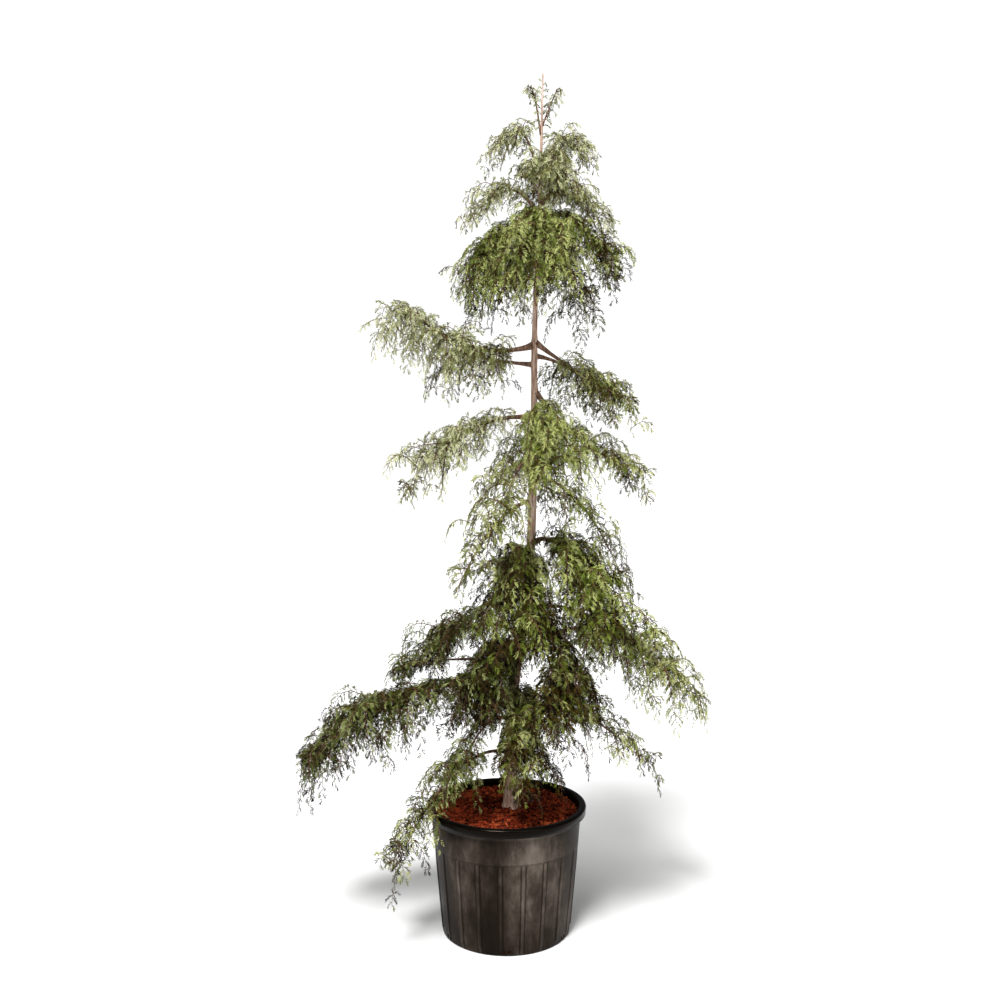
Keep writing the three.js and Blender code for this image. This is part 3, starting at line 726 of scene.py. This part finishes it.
def grow_shoots(twigs):
    """The shoots of every twig that keep to its mass's space, with the number of the twig of each."""
    random = np.random.default_rng(SHOOT_SEED)
    parts = [shoots_on(twig, number, random) for number, twig in enumerate(twigs)]
    curves, normals, lengths, numbers = (np.concatenate(column) for column in zip(*parts))
    owners = np.array([twig.row.index for twig in twigs])[numbers]
    kept = is_free(owners, curves[:, 2], -NEEDLE_LENGTH / 2)
    kept &= is_free(owners, bezier(curves, 0.5), -NEEDLE_LENGTH / 2)
    on_leader = np.array([twig.curve[2][2] == TREE_TOP for twig in twigs])[numbers]
    kept |= on_leader & within_cad_box(curves[:, 2], -NEEDLE_LENGTH)
    return SimpleNamespace(
        curves=curves[kept], normals=normals[kept], lengths=lengths[kept], twigs=numbers[kept],
    )


def grow_needles(shoots):
    """Two rows of needles along every shoot, each folded along its midrib. Returns 4 points a needle."""
    random = np.random.default_rng(NEEDLE_SEED)
    counts = 2 * np.maximum(3, np.round(shoots.lengths / NEEDLE_SPACING)).astype(int)
    owner = np.repeat(np.arange(len(counts)), counts)
    rank = np.arange(counts.sum()) - np.repeat(np.cumsum(counts) - counts, counts)
    along = (rank + NEEDLE_PLACE) / counts[owner]
    curve = shoots.curves[owner]
    base = bezier(curve, along)
    ahead = bezier_ahead(curve, along)
    twist = random.uniform(-NEEDLE_TWIST, NEEDLE_TWIST, (len(along), 3))
    normal = square_to(unit(shoots.normals[owner]) + twist, ahead)
    side = np.cross(normal, ahead) * left_and_right(rank)
    line = opened(ahead, side, NEEDLE_OPENINGS, NEEDLE_OPENING_JITTER, along, random)
    line = unit(line + random.uniform(*NEEDLE_LIFTS, len(along))[:, None] * normal)
    taper = tapered(along, *NEEDLE_TAPER_FROM_START) * tapered(1 - along, *NEEDLE_TAPER_FROM_TIP)
    length = (NEEDLE_LENGTH * taper * random.uniform(*NEEDLE_LENGTH_SHARES, len(along)))[:, None]
    wide = unit(np.cross(line, normal))
    up = np.cross(wide, line)
    middle = base + line * length * NEEDLE_WAIST
    half = wide * NEEDLE_WIDTH / 2
    fold = up * NEEDLE_WIDTH * NEEDLE_FOLD
    points = np.stack([base, middle + half - fold, base + line * length, middle - half - fold], axis=1)
    return points, owner


# Meshes
def in_scene(name, data):
    """A new object that shows data: a mesh, a light or a camera."""
    thing = bpy.data.objects.new(name, data)
    bpy.context.scene.collection.objects.link(thing)
    return thing


def mesh_object(name, points, faces, materials, wear=None, smooth=True):
    """A mesh in the scene. wear gives the number of each face's material."""
    mesh = bpy.data.meshes.new(name)
    mesh.vertices.add(len(points))
    mesh.vertices.foreach_set("co", np.ascontiguousarray(points, np.float32).ravel())
    mesh.loops.add(faces.size)
    mesh.loops.foreach_set("vertex_index", np.ascontiguousarray(faces, np.int32).ravel())
    mesh.polygons.add(len(faces))
    mesh.polygons.foreach_set("loop_start", np.arange(len(faces), dtype=np.int32) * faces.shape[1])
    mesh.polygons.foreach_set("use_smooth", np.full(len(faces), smooth))
    for material in materials:
        mesh.materials.append(material)
    if wear is not None:
        mesh.polygons.foreach_set("material_index", np.ascontiguousarray(wear, np.int32))
    mesh.update(calc_edges=True)
    return in_scene(name, mesh)


def tubes(curves, base_radii, tip_radii, sides, segments):
    """Pointed twigs along curves. Returns their points and triangles, each an array with a row a twig."""
    count = len(curves)
    share = np.linspace(0, 1, segments + 1)
    centre = bezier(curves[:, None], share)
    ahead = bezier_ahead(curves[:, None], share)
    chord = unit(curves[:, 2] - curves[:, 0])
    guide = np.where(np.abs(chord[:, 2:]) > NEARLY_UPRIGHT, [[1.0, 0, 0]], [[0, 0, 1.0]])
    side = square_to(np.cross(chord, guide)[:, None], ahead)
    other = np.cross(ahead, side)
    angle = turns(sides)
    radius = mix(base_radii[:, None], tip_radii[:, None], share)[:, :, None, None]
    ring = side[:, :, None] * np.cos(angle)[:, None] + other[:, :, None] * np.sin(angle)[:, None]
    rings = (centre[:, :, None] + ring * radius)[:, :segments].reshape(count, segments * sides, 3)
    points = np.concatenate([rings, centre[:, -1:]], axis=1)
    faces = []
    for step in range(segments):
        for here in range(sides):
            there = (here + 1) % sides
            low, next_low = step * sides + here, step * sides + there
            if step == segments - 1:
                faces.append((low, next_low, segments * sides))
                continue
            faces.append((low, next_low, next_low + sides))
            faces.append((low, next_low + sides, low + sides))
    return points, np.array(faces)


def joined(points, faces):
    """One mesh out of many of the same kind: points and faces of all of them in a row."""
    count, size = points.shape[:2]
    starts = (np.arange(count) * size)[:, None, None]
    return points.reshape(-1, 3), (faces[None] + starts).reshape(-1, faces.shape[1])


def closed_rings(rings, first, last):
    """Points and triangles of rings joined into a skin and closed at a first and a last middle point."""
    count, around = rings.shape[:2]
    here = np.arange(around)
    there = (here + 1) % around
    starts = (np.arange(count - 1) * around)[:, None]
    corners = [starts + here, starts + there, starts + around + there, starts + around + here]
    walls = np.stack(corners, axis=2).reshape(-1, 4)
    end = (count - 1) * around
    middle = np.full(around, count * around)
    foot = np.stack([middle, there, here], axis=1)
    top = np.stack([middle + 1, end + here, end + there], axis=1)
    points = np.vstack([rings.reshape(-1, 3), [first, last]])
    return points, np.vstack([walls[:, [0, 1, 2]], walls[:, [0, 2, 3]], foot, top])


def dealt_pieces(name, points, faces, materials, shades=None, nodes=(), smooth=True):
    """Pieces of many small like things, each with the material of its shade, none with too many faces."""
    most = MOST_FACES // len(faces)
    for number, start in enumerate(range(0, len(points), most)):
        part = slice(start, start + most)
        all_points, all_faces = joined(points[part], faces)
        wear = None if shades is None else np.repeat(shades[part], len(faces))
        piece = mesh_object(f"{name}_{number + 1}", all_points, all_faces, materials, wear, smooth)
        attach(piece, "root")
    if nodes:
        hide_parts(*nodes)


# Materials
def new_material(name, roughness, shine, colour=WHITE):
    """A plain material, and its shader for what is to be linked to it."""
    material = bpy.data.materials.new(name)
    material.use_nodes = True
    shader = material.node_tree.nodes["Principled BSDF"]
    shader.inputs["Roughness"].default_value = roughness
    shader.inputs["Specular IOR Level"].default_value = shine
    shader.inputs["Base Color"].default_value = (*colour, 1)
    return material, shader


def add_node(material, kind, **values):
    """A new node for a material or the world. A value is for a setting of that name, or else an input."""
    node = material.node_tree.nodes.new(kind)
    for name, value in values.items():
        if hasattr(node, name):
            setattr(node, name, value)
        else:
            node.inputs[name.replace("_", " ")].default_value = value
    return node


def link(output, target):
    target.id_data.links.new(output, target)


def stretched_noise(material, scale, stretch=(1, 1, 1), detail=4, roughness=0.55):
    """A noise in the object's own metres, drawn out along each axis by stretch."""
    place = add_node(material, "ShaderNodeTexCoord")
    shaped = add_node(material, "ShaderNodeMapping", Scale=stretch)
    noise = add_node(material, "ShaderNodeTexNoise", Scale=scale, Detail=detail, Roughness=roughness)
    link(place.outputs["Object"], shaped.inputs["Vector"])
    link(shaped.outputs["Vector"], noise.inputs["Vector"])
    return noise.outputs["Fac"]


def ramp(material, factor, stops):
    """A colour ramp with the given (place, colour) stops."""
    node = add_node(material, "ShaderNodeValToRGB")
    elements = node.color_ramp.elements
    while len(elements) < len(stops):
        elements.new(0.5)
    for element, (place, colour) in zip(elements, stops):
        element.position = place
        element.color = (*colour, 1)
    link(factor, node.inputs["Fac"])
    return node.outputs["Color"]


def calculated(material, operation, *values):
    """One step of arithmetic on values that are plain numbers or what other nodes give."""
    node = add_node(material, "ShaderNodeMath", operation=operation)
    for number, value in enumerate(values):
        if isinstance(value, (int, float)):
            node.inputs[number].default_value = value
        else:
            link(value, node.inputs[number])
    return node.outputs["Value"]


def place_along(material, axis):
    """Where a point of the surface lies along one axis, in the object's own metres."""
    place = add_node(material, "ShaderNodeTexCoord")
    axes = add_node(material, "ShaderNodeSeparateXYZ")
    link(place.outputs["Object"], axes.inputs["Vector"])
    return axes.outputs[axis]


def above(material, height):
    """1 above a height, and 0 below it."""
    return calculated(material, "GREATER_THAN", place_along(material, "Z"), height)


def along_ribs(material, aside, half_width):
    """1 on the strips of wall that lie so far to each side of a rib's middle, and 0 elsewhere."""
    forward = calculated(material, "MULTIPLY", place_along(material, "Y"), -1)
    angle = calculated(material, "ARCTAN2", place_along(material, "X"), forward)
    from_first = calculated(material, "SUBTRACT", angle, math.radians(RIB_TURN))
    from_rib = calculated(material, "PINGPONG", from_first, math.pi / RIB_COUNT)
    strip = calculated(material, "COMPARE", from_rib, aside / FOOT_RADIUS, half_width / FOOT_RADIUS)
    below_band = calculated(material, "LESS_THAN", place_along(material, "Z"), RIB_END)
    return calculated(material, "MULTIPLY", strip, below_band)


def bump(material, shader, height, strength, distance):
    node = add_node(material, "ShaderNodeBump", Strength=strength, Distance=distance)
    link(height, node.inputs["Height"])
    link(node.outputs["Normal"], shader.inputs["Normal"])


def grained_material(name, roughness, shine, noise, stops, relief):
    """A material whose colour and relief both follow one noise."""
    material, shader = new_material(name, roughness, shine)
    grain = stretched_noise(material, **noise)
    link(ramp(material, grain, stops), shader.inputs["Base Color"])
    bump(material, shader, grain, **relief)
    return material


def needle_material(name, colour, shine):
    """A plain colour, because needles get theirs by spray, with a fine waxy unevenness."""
    material, shader = new_material(name, roughness=0.36, shine=shine, colour=colour)
    bump(material, shader, stretched_noise(material, scale=900, detail=2), strength=0.25, distance=0.0004)
    return material


def twig_material(name, colours, scale):
    return grained_material(
        name, roughness=0.7, shine=0.08, noise=dict(scale=scale),
        stops=[(0.38, colours[1]), (0.62, colours[0])], relief=dict(strength=0.4, distance=0.001),
    )


def bark_material(name, colours):
    """Thin fibrous bark: long strips of pinkish brown with darker furrows and grey worn edges."""
    return grained_material(
        name, roughness=0.82, shine=0.15,
        noise=dict(scale=210, stretch=(1, 1, 0.09), detail=6, roughness=0.62),
        stops=[(0.36, colours[1]), (0.50, colours[0]), (0.66, colours[2])],
        relief=dict(strength=0.8, distance=0.0015),
    )


def chip_material(name, colour):
    darker = tuple(CHIP_SHADOW * value for value in colour)
    return grained_material(
        name, roughness=0.8, shine=0.06, noise=dict(scale=260, detail=5),
        stops=[(0.35, darker), (0.6, colour)], relief=dict(strength=0.5, distance=0.0012),
    )


def soil_material():
    return grained_material(
        "damp_soil", roughness=0.9, shine=0.1, noise=dict(scale=90, detail=8, roughness=0.7),
        stops=[(0.4, SOIL_COLOURS[1]), (0.65, SOIL_COLOURS[0])], relief=dict(strength=0.9, distance=0.004),
    )


def pot_material():
    """Black moulded plastic with a brown cast and dry, soft dusty drips and smears, with a painted
    highlight along each rib and painted shade beside it.
    """
    material, shader = new_material("pot_plastic", roughness=sum(POT_ROUGHNESS) / 2, shine=0.06)
    shader.inputs["Specular Tint"].default_value = (*POT_SHINE_TINT, 1)
    broad = stretched_noise(material, scale=5.5, stretch=(1, 1, 0.55), detail=3, roughness=0.5)
    smears = stretched_noise(material, scale=42, stretch=(1, 1, 0.45), detail=7, roughness=0.7)
    dust_and_painted_light = calculated(material, "MULTIPLY_ADD", smears, SMEAR_SHARE, broad)
    # From here on this value holds the dust together with the painted highlight and painted shade at the
    # ribs
    parts = [
        (above(material, BAND_BOTTOM), BAND_DUST),
        # A painted highlight along each rib's middle
        (along_ribs(material, 0, RIB_HALF_WIDTH / 2), RIB_PAINTED_HIGHLIGHT),
        # Painted shade in a strip beside each rib
        (along_ribs(material, RIB_HALF_WIDTH, PAINTED_SHADE_HALF_WIDTH), -RIB_PAINTED_SHADE),
        (above(material, POT_HEIGHT - RIM_HEIGHT), -RIM_CLEANED),
    ]
    for part, share in parts:
        dust_and_painted_light = calculated(material, "MULTIPLY_ADD", part, share, dust_and_painted_light)
    colour = ramp(material, dust_and_painted_light, list(zip(DUST_STOPS, POT_COLOURS)))
    link(colour, shader.inputs["Base Color"])
    matt = add_node(
        material, "ShaderNodeMapRange", From_Min=DUST_STOPS[0], From_Max=DUST_STOPS[-1],
        To_Min=POT_ROUGHNESS[0], To_Max=POT_ROUGHNESS[1],
    )
    link(dust_and_painted_light, matt.inputs["Value"])
    link(matt.outputs["Result"], shader.inputs["Roughness"])
    bump(material, shader, smears, strength=0.08, distance=0.0005)
    return material


# The foliage
def needle_materials(tone):
    """One material for each shade of a tone."""
    looks = zip(NEEDLE_COLOURS[tone], NEEDLE_SHINE)
    return [needle_material(f"needles_{tone}_{number + 1}", *look) for number, look in enumerate(looks)]


def make_foliage():
    """Every mass's sprays with their shoots and needles. A shoot is at most a shade off its spray."""
    twigs = []
    for row in ROWS:
        twigs += [stem_twig(row), *grow_row(row)]
    sprays = [twig for twig in twigs if twig.curve is not twig.row.curve]
    twigs.append(leader_twig())
    shoots = grow_shoots(twigs)
    needles, owner = grow_needles(shoots)
    tones = np.array([twig.row.tone for twig in twigs])[shoots.twigs]
    # Each shoot takes its spray's shade, painted light or shade by place, give or take one by chance
    step = np.random.default_rng(SHADE_SEED).integers(-1, 2, len(shoots.curves))
    shades = np.clip(np.array([twig.shade for twig in twigs])[shoots.twigs] + step, 0, SHADES - 1)
    radii = np.full(len(shoots.curves), SHOOT_RADIUS)
    shoot_points, shoot_faces = tubes(shoots.curves, radii, radii / 2, TWIG_SIDES, SHOOT_SEGMENTS)
    shoot_material = twig_material("green_shoot", SHOOT_COLOURS, scale=60)
    for tone in NEEDLE_COLOURS:
        nodes = [f"mass_{row.name}" for row in ROWS if row.tone == tone]
        wanted = tones == tone
        chosen = wanted[owner]
        dealt_pieces(
            f"needles_{tone}", needles[chosen], NEEDLE_FACES, needle_materials(tone),
            shades=shades[owner[chosen]], nodes=nodes, smooth=False,
        )
        dealt_pieces(f"shoots_{tone}", shoot_points[wanted], shoot_faces, [shoot_material])
    make_twigs(sprays)


def make_twigs(sprays):
    """The woody line of every spray."""
    curves = np.stack([spray.curve for spray in sprays])
    lengths = np.array([spray.length for spray in sprays])
    radii = SPRAY_RADIUS * np.clip(lengths / SPRAY_RADIUS_LENGTH, *SPRAY_RADIUS_SHARES)
    tip_radii = np.full(len(radii), SPRAY_TIP_RADIUS)
    points, faces = tubes(curves, radii, tip_radii, TWIG_SIDES, SPRAY_SEGMENTS)
    dealt_pieces("twigs", points, faces, [twig_material("brown_twig", TWIG_COLOURS, scale=45)])


# Trunk and boughs with the relief of their bark
def bark_relief(angle, along):
    """Furrows that run along a limb and wander a little, from -1 to 1."""
    wander = sum(size * np.sin(pace * along + start) for size, pace, start in WANDER)
    return sum(
        size * np.sin(number * angle + sway * wander + twist * along)
        for size, number, sway, twist in FURROWS
    )


def ringed_tube(centres, sides, others, radii):
    """A tube from rings of points, closed at both ends. radii has a row a ring and a column a side."""
    angle = turns(radii.shape[1])
    ring = sides[:, None] * np.cos(angle)[:, None] + others[:, None] * np.sin(angle)[:, None]
    return closed_rings(centres[:, None] + ring * radii[:, :, None], centres[0], centres[-1])


def make_trunk(material):
    """The trunk with its root flare, its furrows and a swelling where each bough leaves it."""
    count = int((TREE_TOP - SOIL_LEVEL) / TRUNK_RING)
    share = np.linspace(0, 1, count + 1)
    centres = trunk_point(share)
    angle = turns(TRUNK_SIDES)
    lobes = FLARE_LOBE_DEPTH * np.cos(FLARE_LOBES * angle) * flare_at(share)[:, None]
    plain = trunk_radius(share)[:, None]
    relief = BARK_RELIEF * plain / TRUNK_RADIUS * bark_relief(angle, BARK_PACE * share[:, None])
    knots = np.zeros_like(relief)
    for row in ROWS:
        up = (centres[:, 2] - row.height)[:, None]
        around = np.angle(np.exp(1j * (angle - row.turn))) * plain
        knot = KNOT_HEIGHT * row.thick / TRUNK_RADIUS
        knots += knot * np.exp(-(up ** 2 + around ** 2) / KNOT_WIDTH ** 2)
    level = np.zeros_like(centres)
    side, other = level + [1, 0, 0], level + [0, 1, 0]
    points, faces = ringed_tube(centres, side, other, plain * (1 + lobes) + relief + knots)
    points[:, 2] = np.clip(points[:, 2], SOIL_LEVEL, TREE_TOP)
    piece = mesh_object("trunk_bark", points, faces, [material])
    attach(piece, "root")
    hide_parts("trunk")


def make_boughs(material):
    """Every bough with the stem that carries its foliage on, as one limb from inside the trunk."""
    all_points, all_faces, start = [], [], 0
    for row in ROWS:
        length = bezier_length(row.curve)
        count = max(BOUGH_LEAST_RINGS, int(length / BOUGH_RING))
        first = BOUGH_ROOT * row.in_trunk / row.reach
        share = mix(first, 1, np.linspace(0, 1, count + 1))
        centres = bezier(row.curve, share)
        ahead = bezier_ahead(row.curve, share)
        side = square_to(np.broadcast_to(row.across, ahead.shape), ahead)
        clear_of_trunk = np.maximum(share * row.reach - row.in_trunk, 0)
        plain = bough_radius(row, share) * (1 + COLLAR_FLARE * np.exp(-clear_of_trunk / COLLAR_LENGTH))
        furrows = bark_relief(turns(BOUGH_SIDES) + row.index, BOUGH_PACE * share[:, None] * length)
        radii = plain[:, None] + BOUGH_RELIEF * plain[:, None] * furrows
        points, faces = ringed_tube(centres, side, np.cross(ahead, side), radii)
        all_points.append(points)
        all_faces.append(faces + start)
        start += len(points)
    piece = mesh_object("bough_bark", np.vstack(all_points), np.vstack(all_faces), [material])
    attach(piece, "root")
    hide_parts(*[f"bough_{row.name}" for row in ROWS if row.bare > 0])


# The pot
def wall_radius(height):
    return mix(FOOT_RADIUS, COLLAR_RADIUS, height / (POT_HEIGHT - RIM_HEIGHT))


def quarter(centre, radius, start, steps):
    """Points of a quarter circle in the pot's profile, from an angle in degrees."""
    angles = np.radians(start + np.linspace(0, 90, steps))
    return [(centre[0] + radius * math.cos(a), centre[1] + radius * math.sin(a)) for a in angles]


def pot_profile():
    """The pot's profile as (radius, height), from the middle of its underside round to its inside floor."""
    collar = POT_HEIGHT - RIM_HEIGHT
    chamfer = (wall_radius(FOOT_CHAMFER) - FOOT_CHAMFER, FOOT_CHAMFER)
    foot = [(0, 0), (FOOT_RADIUS * UNDERSIDE_RING, 0), *quarter(chamfer, FOOT_CHAMFER, -90, FOOT_STEPS)]
    heights = [RIB_START - RIB_FADE, *np.linspace(RIB_START, RIB_END, WALL_RINGS), RIB_END + RIB_FADE / 2]
    wall = [(wall_radius(h), h) for h in heights]
    start = np.array([wall_radius(BAND_BOTTOM) + BAND_PROUD, BAND_BOTTOM])
    end = np.array([COLLAR_RADIUS, collar - COLLAR_SLOPE])
    band = [tuple(mix(start, end, share)) for share in BAND_RINGS]
    rim = [(RIM_RADIUS - RIM_ROLL / 2, collar), (RIM_RADIUS - RIM_ROLL / 4, collar + COLLAR_ROUND)]
    rim += quarter((RIM_RADIUS - RIM_ROLL, POT_HEIGHT - RIM_ROLL), RIM_ROLL, 0, ROLL_STEPS)
    rim += quarter((MOUTH_RADIUS + RIM_ROLL, POT_HEIGHT - RIM_ROLL), RIM_ROLL, 90, ROLL_STEPS)
    inside = [(wall_radius(h) - POT_WALL, h) for h in INSIDE_LEVELS]
    return foot + wall + [tuple(start)] + band + rim + inside + [(0, POT_FLOOR)]


def rib_rise(angle, radius, height):
    """How far the wall stands out for its ribs at an angle from the front and a height."""
    pitch = 2 * math.pi / RIB_COUNT
    aside = np.abs((angle - math.radians(RIB_TURN) + pitch / 2) % pitch - pitch / 2) * radius
    shape = np.clip(2 * (1 - aside / RIB_HALF_WIDTH), 0, 1)
    fade = np.clip((height - RIB_START + RIB_FADE) / RIB_FADE, 0, 1)
    fade *= np.clip((RIB_END + RIB_FADE / 2 - height) / RIB_FADE, 0, 1)
    return RIB_HEIGHT * shape * fade


def make_pot(material):
    """The pot as one skin turned round its axis, with its ribs and holes."""
    profile = np.array(pot_profile())
    outside = np.arange(len(profile)) < len(profile) - len(INSIDE_LEVELS) - 1
    columns = RIB_COUNT * POT_COLUMNS_PER_RIB
    angle = turns(columns)
    radius = np.repeat(profile[:, :1], columns, axis=1)
    height = np.repeat(profile[:, 1:], columns, axis=1)
    radius = radius + np.where(outside[:, None], rib_rise(angle, radius, height), 0)
    rings = np.stack([radius * np.sin(angle), -radius * np.cos(angle), height], axis=2)
    points, faces = closed_rings(rings[1:-1], (0, 0, 0), (0, 0, POT_FLOOR))
    piece = mesh_object("nursery_pot", points, faces, [material])
    cut_drain_holes(piece)
    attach(piece, "root")
    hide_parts("pot")


def cut_drain_holes(piece):
    """Pairs of small holes round the foot, cut through the wall."""
    corners = BOX_CORNERS * (DRAIN_WIDTH, 4 * POT_WALL, DRAIN_HEIGHT)
    boxes = []
    for angle in turns(DRAIN_PLACES):
        for aside in (-DRAIN_SPACING / 2, DRAIN_SPACING / 2):
            box = corners + (aside, -wall_radius(DRAIN_LEVEL), DRAIN_LEVEL)
            boxes.append(np.column_stack([*turned(box[:, 0], box[:, 1], angle), box[:, 2]]))
    cutter = mesh_object("cutter", *joined(np.stack(boxes), BOX_FACES), [], smooth=False)
    modifier = piece.modifiers.new("holes", "BOOLEAN")
    modifier.operation = "DIFFERENCE"
    modifier.object = cutter
    bpy.context.view_layer.update()
    result = bpy.data.meshes.new_from_object(piece.evaluated_get(bpy.context.evaluated_depsgraph_get()))
    piece.modifiers.clear()
    piece.data = result
    bpy.data.objects.remove(cutter)


# The mulch
def make_mulch():
    """Chips of bark, worn boxes that lie this way and that on the soil."""
    random = np.random.default_rng(CHIP_SEED)
    edge = MOUTH_RADIUS - CHIP_EDGE
    radius = edge * np.sqrt(random.uniform(0, 1, CHIP_COUNT))
    angle = random.uniform(0, 2 * math.pi, CHIP_COUNT)
    limits = (CHIP_LENGTHS, CHIP_WIDTHS, CHIP_THICKNESSES)
    size = np.stack([random.uniform(*pair, CHIP_COUNT) for pair in limits], axis=1)[:, None]
    corners = BOX_CORNERS * size * random.uniform(*CHIP_WEAR, (CHIP_COUNT, 8, 3))
    turn = random.uniform(0, 2 * math.pi, CHIP_COUNT)[:, None]
    tilt = np.radians(random.uniform(-CHIP_TILT, CHIP_TILT, CHIP_COUNT))[:, None]
    x, z = turned(corners[:, :, 0], corners[:, :, 2], tilt)
    x, y = turned(x, corners[:, :, 1], turn)
    lift = SOIL_LEVEL - SOIL_DIP * radius / edge + random.uniform(0, CHIP_PILE, CHIP_COUNT)
    place = np.stack([radius * np.cos(angle), radius * np.sin(angle), lift], axis=1)
    points = np.stack([x, y, z], axis=2) + place[:, None]
    inside = np.hypot(points[:, :, 0], points[:, :, 1]).max(axis=1) < MOUTH_RADIUS - CHIP_CLEAR
    shades = random.integers(0, len(CHIP_COLOURS), CHIP_COUNT)[inside]
    materials = [chip_material(f"mulch_chip_{i + 1}", colour) for i, colour in enumerate(CHIP_COLOURS)]
    dealt_pieces("mulch", points[inside], BOX_FACES, materials, shades=shades, smooth=False)


# Camera, floor and light
def make_camera():
    data = bpy.data.cameras.new("camera")
    data.lens = CAMERA_LENS
    data.sensor_width = SENSOR_WIDTH
    camera = in_scene("camera", data)
    camera.location = CAMERA_PLACE
    camera.rotation_euler = (math.radians(90 - CAMERA_DOWN), 0, 0)
    bpy.context.scene.camera = camera


def make_floor():
    half = FLOOR_SIZE / 2
    points = np.array([(-half, -half, 0), (half, -half, 0), (half, half, 0), (-half, half, 0)])
    material, _ = new_material("studio_floor", roughness=0.9, shine=0.5, colour=FLOOR_COLOUR)
    floor = mesh_object("studio_floor", points, np.array([(0, 1, 2, 3)]), [material], smooth=False)


def sun_light(name, height, turn, strength, softness):
    """A soft even light from a height and a compass turn, in degrees."""
    data = bpy.data.lights.new(name, "SUN")
    data.energy = strength
    data.angle = math.radians(softness)
    light = in_scene(name, data)
    light.rotation_euler = (math.radians(90 - height), 0, math.radians(turn + 90))


def make_world():
    """An even white room that the camera sees as pale as the floor, and that lights the plant softly."""
    world = bpy.data.worlds.new("studio")
    world.use_nodes = True
    glow = world.node_tree.nodes["Background"]
    glow.inputs["Color"].default_value = (*WHITE, 1)
    glow.inputs["Strength"].default_value = ROOM_LIGHT
    seen = add_node(world, "ShaderNodeBackground", Color=(*FLOOR_COLOUR, 1), Strength=ROOM_SEEN)
    path = add_node(world, "ShaderNodeLightPath")
    choice = add_node(world, "ShaderNodeMixShader")
    link(path.outputs["Is Camera Ray"], choice.inputs["Fac"])
    link(glow.outputs["Background"], choice.inputs[1])
    link(seen.outputs["Background"], choice.inputs[2])
    link(choice.outputs["Shader"], world.node_tree.nodes["World Output"].inputs["Surface"])
    bpy.context.scene.world = world


def make_light():
    make_world()
    bpy.context.scene.view_settings.view_transform = "Standard"
    for name, values in LIGHTS.items():
        sun_light(name, *values)


make_foliage()
make_trunk(bark_material("redwood_bark", BARK_COLOURS))
make_boughs(bark_material("young_bark", YOUNG_BARK_COLOURS))
make_pot(pot_material())
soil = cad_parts["soil"]
soil.data.materials.clear()
soil.data.materials.append(soil_material())
make_mulch()
make_camera()
make_floor()
make_light()
